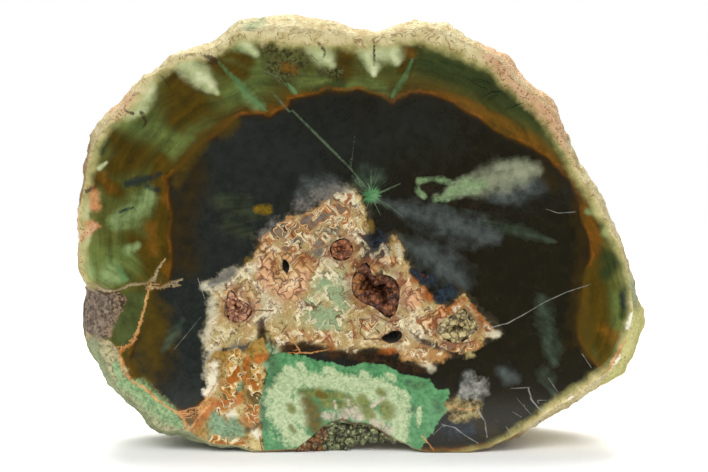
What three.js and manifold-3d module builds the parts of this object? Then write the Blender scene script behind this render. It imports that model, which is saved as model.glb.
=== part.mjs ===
// A petrified log end, cut across and polished on one face and left rough everywhere else.
//
// The polished face is the plane y = 0 and looks along -Y. A chalky rind slopes back from its edge to the
// widest outline, furrowed sides run on along the log, and the far end is broken in slanting planes with
// ledges. The stone stands on the lowest lumps of its lower edge, where they are worn flat. Hollows open
// in the polished face, and each crystal crust that lines one is a solid of its own.

import * as THREE from "three";
import { mergeVertices } from "three/addons/utils/BufferGeometryUtils.js";
import { ImprovedNoise } from "three/addons/math/ImprovedNoise.js";
import Module from "manifold-3d";

const wasm = await Module();
wasm.setup();

// Driving sizes, in millimetres.
const stoneDepth = 52;
const midHeight = 55;
const wornFoot = 0.8; // how much the lowest lumps are worn away to stand on
const groove = { middle: 4.5, halfWidth: 8.6, height: 4 }; // low arch along the underside, between the feet
const crustGap = 0.35; // free space between a crust and the wall behind it
const mouthReach = 2; // how far a cutting shape stands out of the polished face
const leastRind = 0.6;
const furrowStart = 5; // depth at which the furrows begin
const furrowFade = 12; // and over which they reach their full depth

// Surface textures: the height of their lumps and the size of a lump, in millimetres, and a start for
// their noise.
const rindTexture = { height: 0.25, size: 6, seed: 3 }; // height as a share of the rind's width
const rindBumps = { height: 0.35, size: 3.2, seed: 5 };
const wideFurrows = { height: 2.2, size: 8, seed: 41 };
const narrowFurrows = { height: 1.4, size: 4.5, seed: 43 };
const sideBumps = { height: 1.1, size: 9, seed: 51 };
const ledgeWaves = { height: 1.2, size: 26, seed: 11 };
const coarseBreak = { height: 2.4, size: 17, seed: 21 };
const fineBreak = { height: 1.1, size: 7, seed: 31 };
const crystalSeed = 61;

// How finely the shapes are cut into faces.
const outlineSteps = 150;
const brokenCell = 4.2; // side of a cell of the broken end, in millimetres

// The widest outline seen from the front, clockwise from the notch on the left: x, z and how far inside it
// the polished edge lies, in millimetres. z is counted from the lowest lump.
const outline = [
  [-69.5, 43, 1],
  [-71.2, 46.2, 1],
  [-71.5, 50.2, 1],
  [-71.2, 54.8, 0.8],
  [-71.8, 59.8, 1],
  [-71.2, 64, 1],
  [-70, 69.8, 1.2],
  [-69.8, 73.5, 1.5],
  [-69, 78, 1.8],
  [-67.5, 81.8, 2.2],
  [-64.8, 85.5, 2.2],
  [-61.2, 88.8, 2],
  [-58, 92, 1.5],
  [-55.2, 95.5, 1],
  [-51.5, 97.2, 1],
  [-47.5, 100.8, 1.2],
  [-44, 102.2, 1.2],
  [-39.5, 103.2, 1.5],
  [-36, 105, 1.5],
  [-33.2, 107.5, 1.8],
  [-31, 109.2, 2.5],
  [-28, 109.8, 3],
  [-24, 110.2, 3.5],
  [-18.5, 111, 4.2],
  [-14, 110.2, 4.5],
  [-9.2, 109.8, 4],
  [-5.2, 109, 3],
  [-3, 107.8, 2.2],
  [1, 107, 1.5],
  [4.8, 106.8, 1.2],
  [8.5, 108.2, 2],
  [13.2, 109.5, 2.8],
  [18.5, 109, 3],
  [22.2, 108.5, 3],
  [25.2, 106, 2.2],
  [28.5, 104.2, 1.8],
  [33.8, 102.2, 2.2],
  [36.8, 101, 3],
  [39.2, 97.2, 2.8],
  [42, 93.8, 2],
  [46.2, 91.2, 2.2],
  [48.8, 88.2, 2.2],
  [50.2, 83.8, 1.5],
  [52.5, 79, 1.5],
  [55, 73.5, 1.5],
  [57.8, 69.5, 1.8],
  [60.5, 65.8, 2],
  [62.2, 61.2, 1.5],
  [64.5, 56.5, 1.5],
  [66.5, 51.8, 1.5],
  [67.8, 46.5, 1.5],
  [69.2, 43.2, 2],
  [70, 39, 2.2],
  [72, 34.8, 4.5],
  [71.2, 29.8, 4.8],
  [69.5, 25.2, 4.5],
  [67.2, 21.2, 4.2],
  [63.8, 18.5, 3.8],
  [60, 16.5, 2.8],
  [55, 13, 2.8],
  [50, 10.2, 2.5],
  [45.8, 7.8, 2.2],
  [40.8, 4.8, 1.8],
  [35.2, 2.8, 1],
  [29, 0.8, 0.8],
  [22, 0.2, 0.8],
  [17, 0.2, 1],
  [13, 1.2, 1.2],
  [10.5, 2.5, 1.2],
  [4, 4, 1.5],
  [0.5, 3, 2],
  [-4.2, 1.5, 2],
  [-11, 0.5, 1.5],
  [-18, 0.8, 1.2],
  [-23, 0.2, 1.5],
  [-27.2, 0, 1.5],
  [-31, 1.2, 1.5],
  [-37.5, 1.5, 1.8],
  [-41.2, 2.5, 2.2],
  [-45.5, 4, 2.5],
  [-51, 4.5, 2.2],
  [-53.8, 6.5, 2.2],
  [-56.2, 10, 2.2],
  [-60, 13, 2.2],
  [-64.2, 17.5, 2.2],
  [-66.5, 21.2, 3],
  [-69.5, 25.8, 3.8],
  [-70.8, 29, 5],
  [-71.2, 33.5, 7.5],
  [-71.2, 37.2, 8.5],
  [-70.2, 40.5, 7.5],
];

// Rows of the rind: the share of its width, from the polished edge out, and the share of its depth.
const rindRows = [
  [0.35, 0.1],
  [0.75, 0.42],
  [1, 1],
];

// Rows of the sides: depth in millimetres, how far the section has shrunk, and the height that it shrinks
// towards. The first ones shrink towards the foot, so the lower edge stays down and the top leans in. The
// last one lies behind the broken end, which cuts the sides off.
const sideRows = [
  [9, 1.0, 1],
  [13, 0.998, 1],
  [17.5, 0.99, 1],
  [22.5, 0.975, 1],
  [28, 0.955, 1],
  [34, 0.925, 1],
  [41, 0.88, 5],
  [49, 0.81, 14],
  [62, 0.68, 28],
];
const footSmoothing = 0.75; // share of the furrows that is missing under the foot

// The broken far end: each plane's depth at the middle of the stone, compared with the stone's depth, and
// how much it gains with x and with height.
const breaks = [
  { deeper: -4, alongX: 0.03, alongZ: -0.05 },
  { deeper: 6, alongX: 0.42, alongZ: -0.12 },
  { deeper: 5, alongX: -0.46, alongZ: -0.2 },
  { deeper: -3, alongX: -0.06, alongZ: -0.5 },
  { deeper: 9, alongX: 0.2, alongZ: 0.42 },
];
const ledgeHeight = 3;
const ledgeSpacing = 17;
const ledgeTread = 0.68; // share of the spacing that slopes gently, the rest is the step between two ledges

// The hollows in the polished face. A mouth is given by x and z, like the outline. A crust is given by its
// thickness, the size and height of its lumps and how far its rim lies behind the polished face.
const hollows = {
  main_vug: {
    depth: 9,
    steps: 34,
    centre: [4, 41.8],
    mouth: [
      [-2.2, 45.8],
      [0.2, 48.8],
      [1.5, 49],
      [3, 45.6],
      [5.2, 46],
      [7.5, 45.5],
      [9, 43.8],
      [9.5, 41.5],
      [9.2, 38.8],
      [8.5, 36.5],
      [6.8, 35],
      [3, 37.8],
      [0.5, 38.8],
      [-1.5, 40.2],
      [-2.5, 42],
    ],
    crust: { thickness: 1.3, lump: 2.4, height: 1.3, rim: 0.8 },
  },
  left_vug: {
    depth: 4.6,
    steps: 24,
    centre: [-31, 37.4],
    mouth: [
      [-33.5, 42],
      [-32.5, 42.2],
      [-31.2, 40.2],
      [-28, 38.2],
      [-27.5, 36.8],
      [-28.5, 35],
      [-30.2, 34],
      [-32, 34.2],
      [-33.5, 35],
      [-34.2, 36.8],
      [-34, 39],
    ],
    crust: { thickness: 1.4, lump: 2.6, height: 1, rim: 0.5 },
  },
  right_vug: {
    depth: 5,
    steps: 26,
    centre: [24.2, 32.8],
    mouth: [
      [18.5, 32.2],
      [19.8, 34],
      [23.8, 36.5],
      [25.2, 37.5],
      [26.8, 36.8],
      [28.2, 35],
      [29.5, 32.8],
      [28, 31.2],
      [26.5, 29.8],
      [24.5, 28.8],
      [22.2, 29],
      [20.2, 30.2],
    ],
    crust: { thickness: 1.4, lump: 2.8, height: 1, rim: 0.5 },
  },
  upper_vug: {
    depth: 3.2,
    steps: 20,
    centre: [-5, 52.3],
    mouth: [
      [-7.8, 53.5],
      [-6.2, 54.8],
      [-4.2, 55.2],
      [-2.8, 54.2],
      [-2.2, 52.5],
      [-2.8, 50.5],
      [-5, 49.5],
      [-7, 50],
      [-8, 51.8],
    ],
    crust: { thickness: 1, lump: 1.8, height: 0.7, rim: 0.4 },
  },
  foot_hollow: {
    depth: 6,
    steps: 30,
    centre: [-3.5, 2],
    mouth: [
      [-17.5, 0.8],
      [-15.2, 3],
      [-13.2, 4.5],
      [-9.2, 8],
      [-6, 8.8],
      [-3, 8],
      [0.5, 8],
      [3.5, 7],
      [6, 5.5],
      [10, 2.5],
      [9, -3],
      [-3, -5],
      [-16, -3],
    ],
    crust: { thickness: 1.6, lump: 3.2, height: 1.5, rim: 1.2 },
  },
  lens_hollow: {
    depth: 2.8,
    steps: 14,
    centre: [7.6, 30.3],
    mouth: [
      [4.8, 30],
      [6.5, 31.2],
      [8.5, 32],
      [10, 31.5],
      [10, 30.2],
      [8.5, 29],
      [7, 28.8],
    ],
  },
  slit_hollow: {
    depth: 2,
    steps: 10,
    centre: [-19, 48.2],
    mouth: [
      [-19.6, 50],
      [-18.5, 49.2],
      [-18.1, 47.8],
      [-18.8, 46.4],
      [-19.8, 47.6],
    ],
  },
};

// Share of a hollow's width that is left at each share of its depth.
const bowlRows = [
  [0, 1],
  [0.25, 0.97],
  [0.5, 0.88],
  [0.75, 0.7],
  [0.93, 0.42],
];

const stoneColour = new THREE.MeshStandardMaterial({ color: 0x3a3626, roughness: 0.3, metalness: 0 });
const crustColours = {
  main_vug: new THREE.MeshStandardMaterial({ color: 0x9a5230, roughness: 0.8, metalness: 0 }),
  left_vug: new THREE.MeshStandardMaterial({ color: 0xc99a76, roughness: 0.7, metalness: 0 }),
  right_vug: new THREE.MeshStandardMaterial({ color: 0xb3a873, roughness: 0.7, metalness: 0 }),
  upper_vug: new THREE.MeshStandardMaterial({ color: 0xa85a36, roughness: 0.8, metalness: 0 }),
  foot_hollow: new THREE.MeshStandardMaterial({ color: 0xa9b79a, roughness: 0.8, metalness: 0 }),
};

const perlin = new ImprovedNoise();

// Smooth noise from about -1 to 1, with lumps of the given size in millimetres.
function lumps(point, size, seed) {
  return perlin.noise(point.x / size + seed, point.y / size + 7.3, point.z / size - seed);
}

// Points at equal steps along a closed smooth line through the given points.
function closedLine(points, steps) {
  const line = new THREE.CatmullRomCurve3(points, true, "centripetal");
  line.arcLengthDivisions = 12 * steps;
  return line.getSpacedPoints(steps).slice(0, steps);
}

// A closed solid whose skin runs over rings of equally many points, from one end point to the other.
function loft(startPoint, rings, endPoint) {
  const steps = rings[0].length;
  const points = [startPoint, ...rings.flat(), endPoint];
  const last = points.length - 1;
  const faces = [];
  for (let i = 0; i < steps; i++) {
    const next = (i + 1) % steps;
    faces.push(0, 1 + next, 1 + i);
    for (let row = 0; row < rings.length - 1; row++) {
      const a = 1 + row * steps;
      const b = a + steps;
      faces.push(a + i, a + next, b + next, a + i, b + next, b + i);
    }
    const end = 1 + (rings.length - 1) * steps;
    faces.push(end + i, end + next, last);
  }
  return new THREE.BufferGeometry().setFromPoints(points).setIndex(faces);
}

// A three.js mesh geometry as a solid that can be cut and joined.
function toSolid(geometry) {
  const bare = new THREE.BufferGeometry();
  bare.setAttribute("position", geometry.getAttribute("position").clone());
  bare.setIndex(geometry.index);
  const merged = mergeVertices(bare.index ? bare.toNonIndexed() : bare, 1e-4);
  const made = new wasm.Manifold(
    new wasm.Mesh({
      numProp: 3,
      vertProperties: merged.attributes.position.array,
      triVerts: new Uint32Array(merged.index.array),
    }),
  );
  if (made.status() !== "NoError") throw new Error("a shape is not closed: " + made.status());
  if (made.volume() < 0) throw new Error("a shape is inside out");
  return made;
}

// A solid back as a three.js geometry.
function toGeometry(solid) {
  const mesh = solid.getMesh();
  const geometry = new THREE.BufferGeometry();
  geometry.setAttribute("position", new THREE.BufferAttribute(mesh.vertProperties, 3));
  geometry.setIndex(new THREE.BufferAttribute(mesh.triVerts, 1));
  geometry.computeVertexNormals();
  return geometry;
}

// How far apart two points are when seen from the front.
function flatDistance(a, b) {
  return Math.hypot(a.x - b.x, a.z - b.z);
}

// One of the textures at a place.
function texture(place, { height, size, seed }) {
  return height * lumps(place, size, seed);
}

// The widest outline and, for each of its points, the matching point of the polished edge and the rind's
// depth there.
function edgeLines() {
  const wide = closedLine(
    outline.map(([x, z]) => new THREE.Vector3(x, 0, z)),
    outlineSteps,
  );
  const rinds = closedLine(
    outline.map(([x, z, rind]) => new THREE.Vector3(x, 10 * rind, z)),
    4 * outlineSteps,
  );
  const nearestRind = (point) => {
    let best = rinds[0];
    for (const other of rinds) {
      if (flatDistance(other, point) < flatDistance(best, point)) best = other;
    }
    return best.y / 10;
  };
  return wide.map((point, i) => {
    const before = wide[(i + outlineSteps - 2) % outlineSteps];
    const after = wide[(i + 2) % outlineSteps];
    const along = new THREE.Vector3().subVectors(after, before).normalize();
    const outwards = new THREE.Vector3(-along.z, 0, along.x);
    const rind = Math.max(leastRind, nearestRind(point) * (1 + texture(point, rindTexture)));
    return {
      wide: point,
      polished: point.clone().addScaledVector(outwards, -rind),
      outwards,
      rindDepth: 4 + 0.75 * rind,
    };
  });
}

// How deep the stone reaches behind a place on the polished face: broken planes, stepped in ledges.
function brokenDepth(x, z) {
  const up = z - midHeight;
  const place = new THREE.Vector3(x, 0, z);
  const planes = breaks.map((plane) => stoneDepth + plane.deeper + plane.alongX * x + plane.alongZ * up);
  const across = (0.5 * x + 0.86 * up) / ledgeSpacing + texture(place, ledgeWaves);
  const share = across - Math.floor(across);
  const ledge = ledgeHeight * (0.5 - Math.min(share / ledgeTread, (1 - share) / (1 - ledgeTread)));
  const rough = texture(place, coarseBreak) + texture(place, fineBreak);
  return Math.min(stoneDepth, Math.min(...planes) + ledge + rough);
}

// The polished face, the rind and the sides, running on behind the broken end.
function sidesSolid() {
  const edges = edgeLines();
  const rings = [edges.map((edge) => edge.polished)];

  for (const [across, deep] of rindRows) {
    rings.push(
      edges.map((edge) => {
        const point = new THREE.Vector3().lerpVectors(edge.polished, edge.wide, across);
        point.y = edge.rindDepth * deep;
        const rough = across < 1 ? texture(point, rindBumps) : 0;
        return point.addScaledVector(edge.outwards, rough);
      }),
    );
  }

  // Furrows run along the log, so they change slowly with depth. They only cut inwards.
  for (const [depth, shrunk, towards] of sideRows) {
    rings.push(
      edges.map((edge) => {
        const { x, z } = edge.wide;
        const point = new THREE.Vector3(x * shrunk, depth, towards + (z - towards) * shrunk);
        const along = new THREE.Vector3(x, depth / 4, z);
        const fade = Math.min(1, (depth - furrowStart) / furrowFade);
        const furrow = Math.abs(texture(along, wideFurrows)) + Math.abs(texture(along, narrowFurrows));
        const bump = sideBumps.height / 2 + texture(point, sideBumps);
        const kept = 1 - footSmoothing * Math.max(0, -edge.outwards.z) ** 2;
        return point.addScaledVector(edge.outwards, -fade * kept * (furrow + bump));
      }),
    );
  }

  const lastDepth = sideRows.at(-1)[0];
  const faceMiddle = new THREE.Vector3(0, 0, midHeight);
  return toSolid(loft(faceMiddle, rings, new THREE.Vector3(0, lastDepth, midHeight)));
}

// Everything in front of the broken end: a block whose far side is the break.
function frontOfBreakSolid() {
  const width = 160;
  const height = 124;
  const reach = 20;
  const block = new THREE.BoxGeometry(
    width,
    reach,
    height,
    Math.round(width / brokenCell),
    1,
    Math.round(height / brokenCell),
  );
  block.translate(0, 0, midHeight);
  const places = block.getAttribute("position");
  for (let i = 0; i < places.count; i++) {
    if (places.getY(i) > 0) places.setY(i, brokenDepth(places.getX(i), places.getZ(i)));
  }
  return toSolid(block);
}

// The rings of a hollow's wall, from its mouth down to its floor, drawn in from the wall by a gap.
function bowlRings(hollow, gap, floor) {
  const middle = new THREE.Vector3(hollow.centre[0], 0, hollow.centre[1]);
  const mouth = closedLine(
    hollow.mouth.map(([x, z]) => new THREE.Vector3(x, 0, z)),
    hollow.steps,
  );
  return bowlRows.map(([deep, across]) =>
    mouth.map((point, i) => {
      const before = mouth[(i + hollow.steps - 1) % hollow.steps];
      const after = mouth[(i + 1) % hollow.steps];
      const along = new THREE.Vector3().subVectors(after, before).normalize();
      const at = new THREE.Vector3().lerpVectors(middle, point, across);
      at.add(new THREE.Vector3(along.z, 0, -along.x).multiplyScalar(gap));
      at.y = floor * deep;
      return at;
    }),
  );
}

// The empty space of a hollow, which stands a little out of the polished face so that it cuts cleanly.
function hollowSolid(hollow) {
  const rings = bowlRings(hollow, 0, hollow.depth);
  const before = rings[0].map((point) => new THREE.Vector3(point.x, -mouthReach, point.z));
  const [x, z] = hollow.centre;
  const outside = new THREE.Vector3(x, -mouthReach, z);
  return toSolid(loft(outside, [before, ...rings], new THREE.Vector3(x, hollow.depth, z)));
}

// The crystal crust that lines a hollow: a thick bowl with a lumpy inside.
function crustSolid(hollow) {
  const { thickness, lump, height, rim } = hollow.crust;
  const outerFloor = hollow.depth - 1.3 * crustGap;
  const innerFloor = outerFloor - thickness;
  const [x, z] = hollow.centre;
  const outer = bowlRings(hollow, crustGap, outerFloor);
  for (const point of outer[0]) point.y = rim;
  const inner = outer.map((ring, row) =>
    ring.map((point) => {
      const toMiddle = new THREE.Vector3(x - point.x, 0, z - point.z);
      const room = toMiddle.length();
      const swell = height * Math.abs(lumps(point, lump, crystalSeed)) * 1.6;
      const inwards = Math.min(0.8 * thickness + swell, 0.6 * room);
      const at = point.clone().addScaledVector(toMiddle.normalize(), inwards);
      at.y = Math.max(innerFloor * bowlRows[row][0] - swell * bowlRows[row][0], rim + 0.3 * row);
      return at;
    }),
  );
  const innerMiddle = new THREE.Vector3(x, innerFloor - 0.5 * height, z);
  return toSolid(loft(innerMiddle, [...inner.reverse(), ...outer], new THREE.Vector3(x, outerFloor, z)));
}

// Everything below a height.
function belowSolid(height) {
  const width = 400;
  const thickness = 40;
  const block = new THREE.BoxGeometry(width, width, thickness);
  block.translate(0, 0, height - thickness / 2);
  return toSolid(block);
}

// The empty space between the two feet: a low arch that runs the whole length of the underside.
function grooveSolid() {
  const length = 200;
  const sides = 28;
  const tunnel = new THREE.CylinderGeometry(1, 1, length, sides, 1);
  tunnel.scale(groove.halfWidth, 1, groove.height);
  tunnel.translate(groove.middle, 0, 0);
  return toSolid(tunnel);
}

// The largest of a solid's separate pieces.
function largestPiece(solid) {
  return solid.decompose().reduce((best, piece) => (piece.volume() > best.volume() ? piece : best));
}

const log = new THREE.Group();

const underside = belowSolid(wornFoot).add(grooveSolid());
let stone = sidesSolid().intersect(frontOfBreakSolid()).subtract(underside);
for (const hollow of Object.values(hollows)) stone = stone.subtract(hollowSolid(hollow));
const stoneMesh = new THREE.Mesh(toGeometry(stone), stoneColour);
stoneMesh.name = "petrified_log_end";
log.add(stoneMesh);

for (const [name, hollow] of Object.entries(hollows)) {
  if (!hollow.crust) continue;
  const aboveFoot = crustSolid(hollow).subtract(belowSolid(wornFoot + crustGap));
  const crustShape = largestPiece(aboveFoot.subtract(grooveSolid()));
  const crust = new THREE.Mesh(toGeometry(crustShape), crustColours[name]);
  crust.name = name + "_crust";
  log.add(crust);
}

// The part's origin is under the middle of the stone, on the surface that it stands on.
const reach = new THREE.Box3().setFromObject(stoneMesh);
const middleOfReach = reach.getCenter(new THREE.Vector3());
log.position.set(-middleOfReach.x, -middleOfReach.y, -reach.min.z);

export default log;
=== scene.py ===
"""Dresses a petrified log end: a colourful polished face, a chalky rind, rough sides and crystal hollows."""

import logging
import math
from collections.abc import Callable
from dataclasses import dataclass, field
from enum import Enum

import bmesh
import bpy
import numpy as np
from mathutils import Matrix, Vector, geometry, noise


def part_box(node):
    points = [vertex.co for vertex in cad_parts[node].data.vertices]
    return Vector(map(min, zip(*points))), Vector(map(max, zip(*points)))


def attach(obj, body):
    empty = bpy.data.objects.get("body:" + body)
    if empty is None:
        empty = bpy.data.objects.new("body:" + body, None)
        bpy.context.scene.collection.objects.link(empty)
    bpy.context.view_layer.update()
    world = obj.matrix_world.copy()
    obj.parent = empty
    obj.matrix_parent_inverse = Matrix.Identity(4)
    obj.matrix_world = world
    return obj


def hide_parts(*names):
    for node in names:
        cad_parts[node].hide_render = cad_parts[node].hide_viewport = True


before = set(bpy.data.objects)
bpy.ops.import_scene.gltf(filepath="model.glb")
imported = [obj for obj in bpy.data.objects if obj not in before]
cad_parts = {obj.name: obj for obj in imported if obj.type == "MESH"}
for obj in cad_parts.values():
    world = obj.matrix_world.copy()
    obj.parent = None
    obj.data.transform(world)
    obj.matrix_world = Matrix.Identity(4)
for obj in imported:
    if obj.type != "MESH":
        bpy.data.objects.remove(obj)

log = logging.getLogger("petrified log end")

MM = 0.001
BODY = "root"
STONE_NODE = "petrified_log_end"
IN_PLANE = 0.002 * MM  # how far a point of the polished face may lie from its plane

# Places on the polished face are given in points of the picture: columns to the right, rows down.
PICTURE_WIDTH = 708
PICTURE_HEIGHT = 472
PICTURE_STEP = 0.25 * MM  # size on the stone of one point
ORIGIN_COLUMN = 362.4  # the column over the frame's origin
GROUND_ROW = 455.8  # the row of the surface that the stone stands on
PITH = (371.0, 195.0)  # the middle of the growth rings

# A colour Mix node's sockets by place, because their names repeat.
MIX_SHARE, MIX_FIRST, MIX_SECOND, MIX_RESULT = 0, 6, 7, 2

Points = tuple[tuple[float, float], ...]
Stroke = tuple[tuple[float, float, float], ...]
Colour = tuple[float, float, float, float]


def srgb(text: str) -> Colour:
    """Turns a colour such as "aa8833" into the linear numbers that a shader takes.

    Args:
        text: Red, green and blue as six hexadecimal digits.

    Returns:
        The linear colour with full alpha.
    """
    parts = [int(text[i : i + 2], 16) / 255 for i in (0, 2, 4)]
    linear = [c / 12.92 if c <= 0.04045 else ((c + 0.055) / 1.055) ** 2.4 for c in parts]
    return (*linear, 1.0)


class Value:
    """A shader socket that can be used in sums and products."""

    def __init__(self, wiring: "Wiring", socket: bpy.types.NodeSocket) -> None:
        """Wraps a socket of the wiring's node tree."""
        self.wiring = wiring
        self.socket = socket

    def __add__(self, other: "Value | float") -> "Value":
        """Adds."""
        return self.wiring.math("ADD", self, other)

    def __sub__(self, other: "Value | float") -> "Value":
        """Subtracts."""
        return self.wiring.math("SUBTRACT", self, other)

    def __rsub__(self, other: float) -> "Value":
        """Subtracts this value from a number."""
        return self.wiring.math("SUBTRACT", other, self)

    def __mul__(self, other: "Value | float") -> "Value":
        """Multiplies."""
        return self.wiring.math("MULTIPLY", self, other)

    def __truediv__(self, other: "Value | float") -> "Value":
        """Divides."""
        return self.wiring.math("DIVIDE", self, other)

    def __abs__(self) -> "Value":
        """Drops the sign."""
        return self.wiring.math("ABSOLUTE", self)

    __radd__ = __add__
    __rmul__ = __mul__


class Wiring:
    """Builds the nodes of one material.

    Attributes:
        noise_middle: The middle of what a noise node gives.
        noise_gain: What brings a noise node's result to between -1 and 1.
        tree: The material's node tree.
    """

    noise_middle: float = 0.5
    noise_gain: float = 4.0

    def __init__(self, tree: bpy.types.NodeTree) -> None:
        """Starts with an empty node tree."""
        self.tree = tree
        tree.nodes.clear()

    def node(self, kind: str, settings: dict, inputs: dict, output: int | str = 0) -> Value:
        """Adds a node.

        Args:
            kind: The node's type.
            settings: Properties to set first.
            inputs: A value, number or colour for each socket, by name or by place.
            output: The socket to return, by name or by place.

        Returns:
            The chosen output.
        """
        made = self.tree.nodes.new(kind)
        for name, setting in settings.items():
            setattr(made, name, setting)
        for name, value in inputs.items():
            if isinstance(value, Value):
                self.tree.links.new(value.socket, made.inputs[name])
            else:
                made.inputs[name].default_value = value
        return Value(self, made.outputs[output])

    def math(self, operation: str, *values: Value | float) -> Value:
        """Adds a Math node of the given operation."""
        return self.node("ShaderNodeMath", {"operation": operation}, dict(enumerate(values)))

    def smooth(self, value: Value, low: float, high: float) -> Value:
        """Rises smoothly from 0 at low to 1 at high, whichever of the two numbers is larger."""
        if low > high:
            return 1.0 - self.smooth(value, high, low)
        settings = {"interpolation_type": "SMOOTHSTEP", "clamp": False}
        return self.node("ShaderNodeMapRange", settings, {"Value": value, "From Min": low, "From Max": high})

    def mix(self, share: Value | float, first: Value | Colour, second: Value | Colour) -> Value:
        """Mixes two colours by a share from 0 to 1."""
        inputs = {MIX_SHARE: share, MIX_FIRST: first, MIX_SECOND: second}
        return self.node("ShaderNodeMix", {"data_type": "RGBA"}, inputs, MIX_RESULT)

    def field(self, name: str) -> Value:
        """Reads a number that the mesh carries."""
        settings = {"attribute_name": name, "attribute_type": "GEOMETRY"}
        return self.node("ShaderNodeAttribute", settings, {}, "Fac")

    def places(self) -> Value:
        """The place on the object, in millimetres."""
        coordinates = self.node("ShaderNodeTexCoord", {}, {}, "Object")
        return self.node("ShaderNodeVectorMath", {"operation": "SCALE"}, {0: coordinates, "Scale": 1.0 / MM})

    def combine(self, x: Value | float, y: Value | float, z: Value | float) -> Value:
        """Makes a vector from three numbers."""
        return self.node("ShaderNodeCombineXYZ", {}, {0: x, 1: y, 2: z})

    def separate(self, vector: Value) -> tuple[Value, Value, Value]:
        """Takes a vector apart."""
        split = self.node("ShaderNodeSeparateXYZ", {}, {0: vector}).socket.node
        return tuple(Value(self, output) for output in split.outputs)

    def clouds(self, places: Value, size: float = 1.0, detail: float = 3.0, rough: float = 0.55,
               warp: float = 0.0) -> Value:
        """Cloudy noise, mostly from -1 to 1.

        Args:
            places: Where to read it, in millimetres.
            size: Size of a cloud, in millimetres.
            detail: How many finer octaves it has.
            rough: How strong the finer octaves are.
            warp: How much it is distorted.

        Returns:
            The noise.
        """
        inputs = {"Vector": places, "Scale": 1.0 / size}
        inputs |= {"Detail": detail, "Roughness": rough, "Distortion": warp}
        made = self.node("ShaderNodeTexNoise", {}, inputs, "Fac")
        return (made - self.noise_middle) * self.noise_gain

    def cells(self, places: Value, size: float, feature: str = "F1") -> Value:
        """Distances in Voronoi cells of the given size in millimetres."""
        inputs = {"Vector": places, "Scale": 1.0 / size}
        return self.node("ShaderNodeTexVoronoi", {"feature": feature}, inputs, "Distance")

    def specks(self, places: Value, size: float) -> Value:
        """A random number from 0 to 1 for each cell of the given size in millimetres."""
        colour = self.node("ShaderNodeTexVoronoi", {}, {"Vector": places, "Scale": 1.0 / size}, "Color")
        return self.node("ShaderNodeSeparateColor", {}, {0: colour})

    def bumps(self, height: Value, strength: float, depth: float) -> Value:
        """Turns a height into a normal. The depth is in metres."""
        inputs = {"Strength": strength, "Distance": depth, "Height": height}
        return self.node("ShaderNodeBump", {}, inputs, "Normal")

    def finish(self, kind: str, shader: Value) -> None:
        """Ends the tree with an output node of the given type."""
        output = self.tree.nodes.new(kind)
        self.tree.links.new(shader.socket, output.inputs["Surface"])


def new_material(name: str) -> tuple[bpy.types.Material, Wiring]:
    """Makes a material with an empty node tree."""
    material = bpy.data.materials.new(name)
    material.use_nodes = True
    return material, Wiring(material.node_tree)


# Outlines on the face, in points of the picture.

HEARTWOOD: Points = (
    (166, 178), (180, 168), (190, 157), (200, 146), (210, 138), (226, 128), (233, 122), (240, 116),
    (250, 113), (262, 114), (270, 116), (278, 110), (286, 108), (290, 100), (300, 97), (310, 94), (320, 93),
    (328, 89), (338, 92), (350, 91), (358, 89), (374, 93), (384, 98), (392, 103), (400, 98), (410, 93),
    (430, 94), (444, 98), (458, 106), (470, 114), (486, 122), (498, 132), (516, 140), (534, 148),
    (548, 158), (560, 170), (570, 180), (576, 196), (580, 210), (584, 225), (590, 240), (592, 256),
    (586, 270), (584, 286), (582, 306), (578, 320), (580, 340), (590, 356), (604, 372), (590, 391),
    (570, 398), (558, 404), (550, 414), (536, 422), (524, 432), (506, 442), (490, 447), (470, 450),
    (430, 453), (330, 440), (250, 420), (205, 402), (186, 416), (172, 410), (160, 400), (146, 388),
    (134, 376), (126, 360), (134, 340), (142, 318), (150, 292), (166, 284), (172, 262), (170, 240),
    (172, 215), (168, 195),
)

CORE: Points = (
    (362, 196), (352, 190), (335, 192), (318, 205), (300, 215), (285, 222), (265, 232), (258, 240),
    (257, 252), (248, 262), (236, 272), (225, 280), (208, 285), (213, 296), (216, 306), (208, 322),
    (206, 350), (214, 352), (232, 345), (240, 350), (255, 340), (262, 330), (272, 340), (275, 352),
    (300, 345), (330, 350), (350, 355), (372, 348), (396, 352), (410, 362), (430, 368), (440, 360),
    (452, 352), (470, 350), (486, 338), (497, 334), (490, 324), (475, 308), (465, 296), (455, 304),
    (448, 310), (440, 312), (430, 305), (424, 290), (412, 275), (405, 262), (402, 245), (396, 236),
    (386, 240), (375, 245), (368, 235), (366, 215),
)

FOOT_BLOCK: Points = (
    (270, 357), (285, 354), (300, 356), (315, 361), (330, 363), (345, 368), (355, 367), (365, 364),
    (385, 366), (400, 374), (415, 378), (430, 380), (437, 392), (450, 391), (449, 400), (444, 405),
    (447, 412), (440, 422), (435, 432), (425, 445), (418, 458), (400, 458), (330, 458), (264, 460),
    (262, 440), (260, 410), (263, 390), (268, 370),
)

OCHRE_CORNER: Points = (
    (214, 352), (206, 362), (206, 385), (205, 400), (196, 420), (188, 432), (200, 448), (230, 456),
    (262, 460), (262, 440), (262, 410), (264, 390), (268, 372), (270, 357), (262, 340), (250, 345),
    (240, 352),
)

GREEN_WEDGE: Points = (
    (127, 294), (148, 290), (142, 318), (134, 338), (126, 352), (113, 340), (113, 325), (121, 312),
)

GRANULAR_PATCH: Points = (
    (84, 288), (100, 288), (120, 292), (127, 300), (120, 312), (112, 325), (112, 338), (98, 342), (80, 340),
    (70, 325), (72, 305),
)

MOTTLED_BAND: Points = (
    (70, 340), (95, 338), (108, 342), (118, 352), (124, 366), (130, 380), (145, 394), (160, 407),
    (175, 418), (188, 428), (205, 448), (200, 465), (160, 450), (120, 415), (90, 380), (75, 355),
)

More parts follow.
